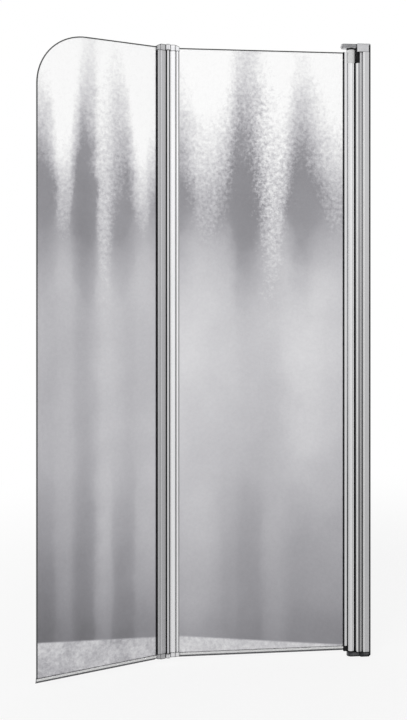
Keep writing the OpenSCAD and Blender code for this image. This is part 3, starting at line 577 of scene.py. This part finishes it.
# %% The whole pane's glass
def obscure_glass(name, panel, border, tone, columns, foot_columns, veil, strip, strip_level, sparkle, softness):
    """`border` is the light part's lower end along the panel, `tone` the grey over the height, and `columns` and
    `foot_columns` say how much lighter or darker each place along the panel is. `veil` is a faint grey band at the
    top (place, width, depth), `strip` the pale foot's height at two places and `strip_level` how light it is.
    `sparkle` and `softness` give the grain and the length of the change from light to dark (place, width, value
    there, value elsewhere)."""
    finish, tree, shader = new_finish(name, Transmission_Weight=1, IOR=1.5)
    spot = pane_spot(tree, panel)
    along, up = drifting(tree, spot)
    border_here = follow(tree, along, border)

    # Sugary grain, fine and coarse
    coarse = noise(tree, spot, 130, 2)
    sugar = calculate(tree, "MULTIPLY_ADD", noise(tree, spot, 280, 2, 0.6), 0.4,
                      calculate(tree, "MULTIPLY", coarse, 0.6))
    grain = calculate(tree, "SUBTRACT", sugar, 0.5)

    # The pane's colour is painted light and shade: painted grey, painted white with painted sparkle, and a painted
    # pale foot
    grey = grey_part(tree, spot, along, up, border_here, tone, columns, foot_columns)
    white = calculate(tree, "SUBTRACT", 1, near(tree, along, *veil, 0))
    level = blend_numbers(tree, white_share(tree, along, up, border_here, grain, softness, sparkle), grey, white)
    # The pale strip along the foot is painted light seen through the glass
    pale_strip_variation = fit(tree, noise(tree, spot, 22, 2), 0.35, 0.65, *strip_level)
    pale = calculate(tree, "MULTIPLY_ADD", grain, STRIP_GRAIN, pale_strip_variation)
    level = blend_numbers(tree, foot_share(tree, spot, strip), level, pale)
    level = calculate(tree, "MULTIPLY", level, fit(tree, sugar, 0.35, 0.65, 0.94, 1.06))

    # A slight violet in the greys
    tint = blend_colours(tree, fit(tree, level, 0.25, 0.9, 0, 1), (1.0, 0.985, 1.06), (1.0, 1.0, 1.0))
    wire(tree, scale_colour(tree, tint, level), shader.inputs["Base Color"])
    wire(tree, fit(tree, coarse, 0.3, 0.7, 0.28, 0.40), shader.inputs["Roughness"])
    relief(tree, shader, sugar, 0.5 * MM, 0.5)
    return finish


# %% Glass of the inner pane
inner_glass_finish = obscure_glass(
    "inner_obscure_glass", "inner",
    border=[(-0.44, 1.22), (-0.427, 1.19), (-0.407, 1.135), (-0.387, 1.095), (-0.366, 1.095), (-0.346, 1.12),
            (-0.328, 1.165), (-0.311, 1.255), (-0.296, 1.305), (-0.276, 1.285), (-0.256, 1.20), (-0.238, 1.10),
            (-0.218, 1.055), (-0.20, 1.10), (-0.18, 1.20), (-0.167, 1.255), (-0.154, 1.265), (-0.138, 1.23),
            (-0.117, 1.17), (-0.096, 1.125), (-0.077, 1.10), (-0.06, 1.09)],
    tone=[(0.0, 0.27), (0.06, 0.30), (0.12, 0.36), (0.24, 0.42), (0.35, 0.48), (0.46, 0.53), (0.58, 0.57),
          (0.70, 0.61), (0.80, 0.59), (0.90, 0.50), (0.98, 0.37), (1.06, 0.265), (1.15, 0.255), (1.25, 0.29),
          (1.38, 0.50)],
    columns=[(-0.44, 1.12), (-0.38, 1.06), (-0.31, 1.0), (-0.25, 0.95), (-0.19, 1.06), (-0.15, 1.12), (-0.10, 1.07),
             (-0.06, 1.0)],
    foot_columns=[(-0.44, 1.19), (-0.40, 1.22), (-0.358, 1.14), (-0.335, 1.0), (-0.313, 0.95), (-0.285, 0.85),
                  (-0.262, 0.87), (-0.244, 1.0), (-0.221, 1.06), (-0.198, 1.0), (-0.165, 0.93), (-0.128, 0.96),
                  (-0.06, 0.98)],
    veil=(-0.281, 0.05, 0.17), strip=[(-0.4354, 0.0476), (-0.0678, 0.0138)], strip_level=(0.62, 0.70),
    sparkle=(-0.262, 0.11, 0.60, 0.28), softness=(-0.24, 0.055, 1.9, 1.1),
)
print("inner pane's finish:", len(inner_glass_finish.node_tree.nodes), "nodes")

# %% Glass of the outer pane
outer_glass_finish = obscure_glass(
    "outer_obscure_glass", "outer",
    border=[(-0.763, 1.21), (-0.748, 1.20), (-0.733, 1.17), (-0.719, 1.10), (-0.706, 1.055), (-0.694, 1.06),
            (-0.684, 1.12), (-0.67, 1.205), (-0.655, 1.265), (-0.642, 1.255), (-0.629, 1.155), (-0.616, 1.075),
            (-0.602, 1.11), (-0.59, 1.19), (-0.577, 1.22), (-0.563, 1.20), (-0.548, 1.135), (-0.534, 1.06),
            (-0.52, 1.035), (-0.507, 1.08), (-0.48, 1.13)],
    tone=[(0.0, 0.20), (0.08, 0.23), (0.14, 0.28), (0.25, 0.355), (0.36, 0.425), (0.48, 0.47), (0.60, 0.475),
          (0.70, 0.49), (0.80, 0.50), (0.88, 0.44), (0.96, 0.36), (1.05, 0.285), (1.13, 0.29), (1.24, 0.35),
          (1.38, 0.55)],
    columns=[(-0.76, 1.0), (-0.733, 0.99), (-0.715, 1.03), (-0.697, 1.05), (-0.678, 0.97), (-0.66, 0.91),
             (-0.644, 0.96), (-0.626, 1.10), (-0.608, 1.19), (-0.59, 1.15), (-0.57, 1.09), (-0.551, 1.05),
             (-0.532, 1.10), (-0.5, 1.12)],
    foot_columns=[(-0.76, 0.75), (-0.733, 0.81), (-0.715, 1.02), (-0.698, 1.06), (-0.68, 0.89), (-0.662, 0.78),
                  (-0.644, 0.83), (-0.626, 1.19), (-0.607, 1.30), (-0.589, 1.02), (-0.57, 0.93), (-0.551, 0.97),
                  (-0.532, 1.27), (-0.5, 1.39)],
    veil=(-0.645, 0.035, 0.10), strip=[(-0.7547, 0.0847), (-0.4936, 0.0520)], strip_level=(0.47, 0.65),
    sparkle=(-0.617, 0.09, 0.32, 0.22), softness=(-0.601, 0.06, 2.0, 0.85),
)
print("outer pane's finish:", len(outer_glass_finish.node_tree.nodes), "nodes")

# %% [markdown]
# ## Ground glass edge
# Toughened glass has its edges ground round and frosted before it is hardened. Seen from the front such an edge is
# a thin dark line, because it bends the light away to the side. Real refraction would take many samples in so thin a
# line, so the edge is a frosted finish with painted shade in its dark colour.

# %% Ground edge
ground_edge, tree, shader = new_finish("ground_glass_edge", IOR=1.5)
frost = noise(tree, place(tree), 700, 3, 0.6)
# The edge's dark colour is painted shade for the light it bends away
wire(tree, blend_colours(tree, frost, (0.03, 0.033, 0.033), (0.09, 0.095, 0.095)), shader.inputs["Base Color"])
wire(tree, fit(tree, frost, 0.3, 0.7, 0.30, 0.48), shader.inputs["Roughness"])
relief(tree, shader, frost, 0.05 * MM, 0.5)
print("finish:", ground_edge.name)

# %% [markdown]
# ## Finishes on the solids
# A CAD node keeps its shape and gets its finish in its own material slot. Pieces that are made new further down
# take over the finish that the node has here.

# %% Assign the finishes
finishes = {
    post_metal: ["pivot_post"],
    wall_metal: ["wall_profile"],
    shaded_adjuster_metal: ["adjuster_profile"],
    inner_fold_metal: ["inner_fold_profile"],
    outer_fold_metal: ["outer_fold_profile"],
    cap_chrome: ["wall_top_cap"],
    fold_cap_chrome: ["inner_fold_top_cap", "outer_fold_top_cap", "inner_fold_bottom_cap", "outer_fold_bottom_cap"],
    foot_chrome_painted_reflection: ["wall_foot_bracket"],
    screw_steel: ["adjuster_screws", "wall_end_screws", "upper_pivot_pin", "lower_pivot_pin", "inner_cap_screws",
                  "outer_cap_screws", "upper_hinge_pin", "lower_hinge_pin"],
    # The black wall seal strips also stand in for the shade where the wall profile meets the wall
    black_rubber: ["wall_seal_strips", "jamb_seal", "post_rubber", "outer_fold_rubber", "fold_seal"],
    grey_rubber: ["inner_fold_rubber"],
    # The upper pivot bush is a black washer, and its black also stands in for the shade in the gap under the cap's
    # arm
    black_plastic: ["adjuster_top_plug", "post_channel_plug", "upper_pivot_bush"],
    pale_plastic: ["post_top_block", "screw_cover_caps"],
    white_nylon: ["lower_pivot_bush", "hinge_bushes"],
    clear_vinyl: ["inner_drip_seal", "outer_drip_seal"],
    inner_glass_finish: ["inner_glass"],
    outer_glass_finish: ["outer_glass"],
}
for finish, names in finishes.items():
    for name in names:
        nodes[name].material_slots[0].material = finish
finished = {name for names in finishes.values() for name in names}
print("nodes without a finish:", sorted(set(nodes) - finished))

# %% [markdown]
# ## Taking a node's place
# A new piece that stands for a CAD node rides on the same body and keeps the node's material slot, both of which
# the frame's record gives. `finished_mesh` makes the new object, with its faces turned outward.

# %% Riding, replacing and finishing
BODY_OF = {name: body for body, names in frame["record"]["behaviour"]["bodies"].items() for name in names}


def stand_for(piece, name):
    """The piece takes a CAD node's place."""
    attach(piece, BODY_OF[name])
    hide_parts(name)


def finished_mesh(name, shape, materials):
    """An object at the origin from a bmesh, which is freed."""
    bmesh.ops.recalc_face_normals(shape, faces=shape.faces)
    open_edges = sum(not edge.is_manifold for edge in shape.edges)
    mesh = bpy.data.meshes.new(name)
    shape.to_mesh(mesh)
    shape.free()
    for material in materials:
        mesh.materials.append(material)
    piece = bpy.data.objects.new(name, mesh)
    bpy.context.scene.collection.objects.link(piece)
    print(name, len(mesh.polygons), "faces, open edges:", open_edges)
    return piece


# %% [markdown]
# ## A sweep for edges and seals
# The ground edge of a pane is a half circle that runs round the pane's outline, and a drip seal is a section that
# runs along its lower edge. Both are the same job: a path, corners rounded by their own radius, and a section
# carried along. Geometry Nodes do this with Fillet Curve and Curve to Mesh. Each corner's radius is stored in the
# path as an attribute, so one tree serves the large arc and the small corners alike. In a section, x points along
# the path's Z and y points out of the path's loop.

# %% A curve with rounded corners
def curve_with_corners(tree, mesh_socket, count_socket):
    """A mesh line as a curve, with each corner rounded by its own bend_radius."""
    line = add(tree, "GeometryNodeMeshToCurve")
    wire(tree, mesh_socket, line.inputs["Mesh"])
    radius = add(tree, "GeometryNodeInputNamedAttribute", {"data_type": "FLOAT"}, Name="bend_radius")
    rounded = add(tree, "GeometryNodeFilletCurve", {"mode": "POLY"})
    wire(tree, line.outputs["Curve"], rounded.inputs["Curve"])
    wire(tree, radius.outputs[0], rounded.inputs["Radius"])
    wire(tree, count_socket, rounded.inputs["Count"])
    return rounded.outputs["Curve"]


# %% The sweep tree
sweep = bpy.data.node_groups.new("sweep_along_path", "GeometryNodeTree")
sweep.interface.new_socket("Geometry", in_out="OUTPUT", socket_type="NodeSocketGeometry")
sweep.interface.new_socket("Geometry", in_out="INPUT", socket_type="NodeSocketGeometry")
SWEEP_INPUTS = {"Section": "NodeSocketObject", "Path Steps": "NodeSocketInt", "Section Steps": "NodeSocketInt",
                "Closed Ends": "NodeSocketBool", "Finish": "NodeSocketMaterial"}
sweep_sockets = {name: sweep.interface.new_socket(name, in_out="INPUT", socket_type=kind).identifier
                 for name, kind in SWEEP_INPUTS.items()}
given = add(sweep, "NodeGroupInput")
result = add(sweep, "NodeGroupOutput")
path = curve_with_corners(sweep, given.outputs["Geometry"], given.outputs["Path Steps"])
upright = add(sweep, "GeometryNodeSetCurveNormal", {"mode": "FREE"}, Normal=(0, 0, 1))
wire(sweep, path, upright.inputs["Curve"])
section_object = add(sweep, "GeometryNodeObjectInfo")
wire(sweep, given.outputs["Section"], section_object.inputs["Object"])
section = curve_with_corners(sweep, section_object.outputs["Geometry"], given.outputs["Section Steps"])
carried = add(sweep, "GeometryNodeCurveToMesh")
wire(sweep, upright.outputs["Curve"], carried.inputs["Curve"])
wire(sweep, section, carried.inputs["Profile Curve"])
wire(sweep, given.outputs["Closed Ends"], carried.inputs["Fill Caps"])
real = add(sweep, "GeometryNodeRealizeInstances")
wire(sweep, carried.outputs["Mesh"], real.inputs["Geometry"])
dressed = add(sweep, "GeometryNodeSetMaterial")
wire(sweep, real.outputs["Geometry"], dressed.inputs["Geometry"])
wire(sweep, given.outputs["Finish"], dressed.inputs["Material"])
wire(sweep, dressed.outputs["Geometry"], result.inputs["Geometry"])
print("sweep inputs:", list(sweep_sockets))


# %% Run the sweep and take its mesh
def line_object(name, points, closed):
    """A mesh line through (x, y, z, bend radius) points."""
    mesh = bpy.data.meshes.new(name)
    count = len(points)
    edges = [(i, (i + 1) % count) for i in range(count if closed else count - 1)]
    mesh.from_pydata([point[:3] for point in points], edges, [])
    radius = mesh.attributes.new("bend_radius", "FLOAT", "POINT")
    for index, point in enumerate(points):
        radius.data[index].value = point[3]
    line = bpy.data.objects.new(name, mesh)
    bpy.context.scene.collection.objects.link(line)
    return line


def swept(path_points, section_points, path_closed, section_closed, steps, material):
    """A bmesh of the section carried along the path. `steps` are those of a rounded corner, in each of the two."""
    path_line = line_object("path", path_points, path_closed)
    section_line = line_object("section", section_points, section_closed)
    modifier = path_line.modifiers.new("sweep", "NODES")
    modifier.node_group = sweep
    values = {"Section": section_line, "Path Steps": steps[0], "Section Steps": steps[1],
              "Closed Ends": not path_closed, "Finish": material}
    for name, value in values.items():
        modifier[sweep_sockets[name]] = value
    graph = bpy.context.evaluated_depsgraph_get()
    plain = bpy.data.meshes.new_from_object(path_line.evaluated_get(graph))
    shape = bmesh.new()
    shape.from_mesh(plain)
    for thing in (path_line, section_line):
        bpy.data.objects.remove(thing)
    bpy.data.meshes.remove(plain)
    return shape


# %% [markdown]
# ## Panes
# A pane's outline is drawn flat, with the distance along the panel as x and the height as y, and then stood up in
# its panel. The outer pane's free upper corner is the large arc. The sweep makes only the ground edge; the two faces
# are filled across its open rims in mesh code, because a filled curve in Geometry Nodes doesn't join up with the
# edge without seams.

# %% Panes with ground edges
ARC_RADIUS = 110 * MM
SHARP_CORNER = 1.5 * MM
ARC_STEPS = 22
EDGE_STEPS = 8
UPRIGHT = Matrix.Rotation(math.radians(90), 4, "X")


def pane(panel, finish, free_corner=None):
    """A pane that stands for the panel's glass. `free_corner` is the radius of its free upper corner."""
    low, high = PANE_BOX[panel]
    half = (high.y - low.y) / 2
    left, right, foot, top = low.x + half, high.x - half, low.z + half, high.z - half
    outline = [(left, foot, 0, SHARP_CORNER), (right, foot, 0, SHARP_CORNER), (right, top, 0, SHARP_CORNER),
               (left, top, 0, free_corner - half if free_corner else SHARP_CORNER)]
    half_round = [(-half * math.cos(step), half * math.sin(step), 0, 0)
                  for step in (math.pi * i / EDGE_STEPS for i in range(EDGE_STEPS + 1))]
    shape = swept(outline, half_round, path_closed=True, section_closed=False, steps=(ARC_STEPS, 1),
                  material=ground_edge)
    for face in shape.faces:
        face.smooth = True
    rims = [edge for edge in shape.edges if edge.is_boundary]
    filled = bmesh.ops.holes_fill(shape, edges=rims, sides=0)["faces"]
    for face in filled:
        face.smooth = False
        face.material_index = 1
    middle = Matrix.Translation((0, (low.y + high.y) / 2, 0))
    bmesh.ops.transform(shape, matrix=PANEL_PLACE[panel] @ middle @ UPRIGHT, verts=shape.verts)
    stand_for(finished_mesh(panel + "_pane", shape, [ground_edge, finish]), panel + "_glass")


pane("inner", inner_glass_finish)
pane("outer", outer_glass_finish, ARC_RADIUS)

# %% [markdown]
# ## Drip seals
# A drip seal is an extruded strip of soft vinyl: a clip that grips the pane's lower edge, and a fin that leans away
# to the far side and throws the water off there. The section is drawn once, with rounded lips, and swept along each
# panel.

# %% Sizes of a drip seal
CLIP_T = 0.9 * MM
CLIP_RISE = 6 * MM
GRIP_GAP = 0.02 * MM
LIP_ROUND, SLOT_ROUND, HEEL_ROUND = 0.3 * MM, 0.2 * MM, 0.5 * MM
# Where the fin's lower and upper side leave the clip, with the radius there, and its thickness at the tip
UNDER_FIN, UNDER_FIN_ROUND = 1.2 * MM, 1.5 * MM
OVER_FIN, OVER_FIN_ROUND = 0.4 * MM, 2 * MM
FIN_TIP = 1.1 * MM
SEAL_STEPS = 5
PANE_HALF = (PANE_BOX["inner"][1].y - PANE_BOX["inner"][0].y) / 2
PANE_FOOT = PANE_BOX["inner"][0].z
print("clip inside:", round(2 * (PANE_HALF + GRIP_GAP) / MM, 2), "mm wide")


# %% Drip seals
def drip_seal(panel):
    """The clear seal on a panel's lower edge, in place of the node."""
    name = panel + "_drip_seal"
    low, high = straight_box(name, panel)
    middle = (PANE_BOX[panel][0].y + PANE_BOX[panel][1].y) / 2
    inside, outside = PANE_HALF + GRIP_GAP, PANE_HALF + CLIP_T
    lip, slot, base, tip = PANE_FOOT + CLIP_RISE, PANE_FOOT - GRIP_GAP, PANE_FOOT - CLIP_T, low.z
    reach = high.y - middle
    # Across the glass, height, radius of the corner
    section_shape = [(-outside, lip, LIP_ROUND), (-outside, base, HEEL_ROUND),
                     (inside - UNDER_FIN, base, UNDER_FIN_ROUND),
                     (reach - FIN_TIP, tip, LIP_ROUND), (reach, tip, LIP_ROUND),
                     (outside + OVER_FIN, PANE_FOOT - OVER_FIN, OVER_FIN_ROUND),
                     (outside, lip, LIP_ROUND), (inside, lip, LIP_ROUND), (inside, slot, SLOT_ROUND),
                     (-inside, slot, SLOT_ROUND), (-inside, lip, LIP_ROUND)]
    points = [(height, -across, 0, radius) for across, height, radius in section_shape]
    run = [(low.x, 0, 0, 0), (high.x, 0, 0, 0)]
    shape = swept(run, points, path_closed=False, section_closed=True, steps=(1, SEAL_STEPS), material=clear_vinyl)
    bmesh.ops.transform(shape, matrix=PANEL_PLACE[panel] @ Matrix.Translation((0, middle, 0)), verts=shape.verts)
    stand_for(finished_mesh(panel + "_clear_seal", shape, [clear_vinyl]), name)


for panel in PANEL_PLACE:
    drip_seal(panel)

# %% [markdown]
# ## Rounded castings and plugs
# A casting or a moulding has no sharp edge: its corners are rounded by the mould and by polishing, and each of them
# catches a thin line of light. The solids have their main rounds already. Here a copy of each solid gets a small
# bevel on the edges that are still sharp. The copy's triangles are merged and its flat areas dissolved first,
# because a bevel needs whole faces.

# %% A copy with rounded edges
SAME_SPOT = 0.002 * MM
NEARLY_FLAT = math.radians(0.6)
SHARP_FROM = math.radians(35)
SHADED_SHARP_FROM = math.radians(50)


def rounded_copy(name, width):
    """The node's shape with its sharp edges bevelled. Weighted normals keep the flat faces flat in the light."""
    shape = bmesh.new()
    shape.from_mesh(nodes[name].data)
    bmesh.ops.remove_doubles(shape, verts=shape.verts, dist=SAME_SPOT)
    bmesh.ops.dissolve_limit(shape, angle_limit=NEARLY_FLAT, verts=shape.verts, edges=shape.edges)
    sharp = [edge for edge in shape.edges if edge.is_manifold and edge.calc_face_angle() > SHARP_FROM]
    bmesh.ops.bevel(shape, geom=sharp, offset=width, offset_type="OFFSET", segments=2, profile=0.5,
                    affect="EDGES", clamp_overlap=True)
    bmesh.ops.remove_doubles(shape, verts=shape.verts, dist=SAME_SPOT)
    for face in shape.faces:
        face.smooth = True
    piece = finished_mesh(name + "_rounded", shape, [nodes[name].material_slots[0].material])
    piece.data.set_sharp_from_angle(angle=SHADED_SHARP_FROM)
    flat_faces = piece.modifiers.new("flat_faces", "WEIGHTED_NORMAL")
    flat_faces.keep_sharp = True
    flat_faces.weight = 90
    stand_for(piece, name)


# %% Round the cast and moulded pieces
# Width of each bevel in millimetres
ROUNDING = {"wall_top_cap": 0.5, "wall_foot_bracket": 0.5, "inner_fold_top_cap": 0.3, "outer_fold_top_cap": 0.3,
            "inner_fold_bottom_cap": 0.3, "outer_fold_bottom_cap": 0.3, "post_top_block": 0.4,
            "adjuster_top_plug": 1.2, "post_channel_plug": 0.3}
for name, width in ROUNDING.items():
    rounded_copy(name, width * MM)

# %% [markdown]
# ## Studio
# A plain pale floor and plain soft light. The world's background is white to the camera, through the glass and in
# reflections. In reflections it also has a few grey cards in it, because polished metal only looks like metal when it
# has something darker to mirror. A bearing of zero is the viewer's side, and positive bearings are towards the wall.
# The ceiling is dark too, which draws a thin dark line along the upper edges of the caps.

# %% Cards and ceiling
world = bpy.data.worlds.new("studio")
bpy.context.scene.world = world
world.use_nodes = True
tree = world.node_tree
tree.nodes.clear()

direction = add(tree, "ShaderNodeTexCoord")
east, north, rise = axes(tree, direction.outputs["Generated"])
bearing = calculate(tree, "ARCTAN2", east, calculate(tree, "MULTIPLY", north, -1))
# Bearings in degrees, each with the brightness of the background or of a card there
STUDIO = [(-180, 1.0), (-102, 1.0), (-90, 0.78), (-14, 0.78), (-9, 1.0), (8, 1.0), (12.5, 0.70), (24, 0.74),
          (35, 0.64), (43, 0.48), (51, 0.52), (59, 0.88), (66, 1.0), (180, 1.0)]
ramp = add(tree, "ShaderNodeValToRGB")
wire(tree, fit(tree, bearing, -math.pi, math.pi, 0, 1), ramp.inputs["Fac"])
stops = ramp.color_ramp.elements
stops.remove(stops[1])
stops[0].position, stops[0].color = 0, (STUDIO[0][1],) * 3 + (1,)
for degrees, brightness in STUDIO[1:]:
    stops.new((degrees + 180) / 360).color = (brightness,) * 3 + (1,)
# Sine of the elevation, with the level there: bright a little above eye height, dark at the ceiling
RISE = [(-1.0, 0.7), (-0.38, 0.78), (0.0, 0.97), (0.28, 1.12), (0.45, 1.0), (0.7, 0.25), (1.0, 0.15)]
cards = scale_colour(tree, ramp.outputs["Color"], follow(tree, rise, RISE))
print("studio stops:", [round(stop.position * 360 - 180, 1) for stop in stops])


# %% White background and soft light
def seen_rays(tree):
    """1 for what the camera sees, directly, through the glass or in the metal, and 0 for light on a surface. The
    second output is 1 only in the metal: light through the rough glass counts as glossy too, and sees no cards."""
    rays = add(tree, "ShaderNodeLightPath")
    through, glossy = rays.outputs["Is Transmission Ray"], rays.outputs["Is Glossy Ray"]
    seen = calculate(tree, "MAXIMUM", calculate(tree, "MAXIMUM", rays.outputs["Is Camera Ray"], through), glossy)
    return seen, calculate(tree, "MAXIMUM", calculate(tree, "SUBTRACT", glossy, through), 0)


seen, reflected = seen_rays(tree)
studio_light = add(tree, "ShaderNodeBackground", Strength=1)
wire(tree, cards, studio_light.inputs["Color"])
background = add(tree, "ShaderNodeBackground", Strength=1)
wire(tree, blend_colours(tree, reflected, (1, 1, 1), cards), background.inputs["Color"])
mix = add(tree, "ShaderNodeMixShader")
wire(tree, seen, mix.inputs[0])
wire(tree, studio_light.outputs[0], mix.inputs[1])
wire(tree, background.outputs[0], mix.inputs[2])
world_output = add(tree, "ShaderNodeOutputWorld")
wire(tree, mix.outputs[0], world_output.inputs["Surface"])
print("world nodes:", len(tree.nodes))

# %% [markdown]
# ## Floor and lamp
# The floor is white to the camera and through the glass, and takes the screen's soft shadow by a share of real
# shading. The share fades out two metres away, so the floor meets the white background without a line. One large
# soft lamp from the viewer's left gives the shadow its direction.

# %% Floor
FLOOR_REACH = 30
FLOOR_GAP = 0.5 * MM
SHADOW_FADES = (0.6, 2.2)
GLOW_NEAR_SCREEN = 0.86

floor_z = cad_box[0][2] - FLOOR_GAP
floor_mesh = bpy.data.meshes.new("floor")
floor_corners = [(east_west * FLOOR_REACH, north_south * FLOOR_REACH, floor_z)
                 for east_west, north_south in ((-1, -1), (1, -1), (1, 1), (-1, 1))]
floor_mesh.from_pydata(floor_corners, [], [(0, 1, 2, 3)])
floor = bpy.data.objects.new("floor", floor_mesh)
floor.visible_glossy = False
bpy.context.scene.collection.objects.link(floor)

floor_finish, tree, shader = new_finish("floor_finish", Base_Color=(0.95, 0.95, 0.95, 1), Roughness=0.9,
                                        Specular_IOR_Level=0.1)
glow = add(tree, "ShaderNodeEmission", Color=(1, 1, 1, 1), Strength=1)
distance = add(tree, "ShaderNodeVectorMath", {"operation": "LENGTH"})
wire(tree, place(tree), distance.inputs[0])
glow_share = fit(tree, distance.outputs["Value"], *SHADOW_FADES, GLOW_NEAR_SCREEN, 1, smooth=True)
mix = add(tree, "ShaderNodeMixShader")
wire(tree, calculate(tree, "MULTIPLY", seen_rays(tree)[0], glow_share), mix.inputs[0])
wire(tree, shader.outputs[0], mix.inputs[1])
wire(tree, glow.outputs[0], mix.inputs[2])
wire(tree, mix.outputs[0], tree.nodes["Material Output"].inputs["Surface"])
floor_mesh.materials.append(floor_finish)
print("floor at", round(floor_z, 4))

# %% Lamp
LAMP_PLACE = Vector((-1.9, -2.3, 2.6))
LAMP_AIM = Vector((-0.35, 0, 0.75))

lamp_data = bpy.data.lights.new("soft_lamp", "AREA")
lamp_data.shape = "DISK"
lamp_data.size = 1.8
lamp_data.energy = 30
lamp = bpy.data.objects.new("soft_lamp", lamp_data)
lamp.location = LAMP_PLACE
lamp.rotation_euler = (LAMP_AIM - LAMP_PLACE).to_track_quat("-Z", "Y").to_euler()
lamp.visible_glossy = False
bpy.context.scene.collection.objects.link(lamp)
print("lamp", round((LAMP_AIM - LAMP_PLACE).length, 2), "m from the screen's middle")

# %% [markdown]
# ## Finish
# The new pieces must not stand out of the solids they stand for. The scene is brought up to date once they are all
# made.

# %% Finish
bpy.context.view_layer.update()
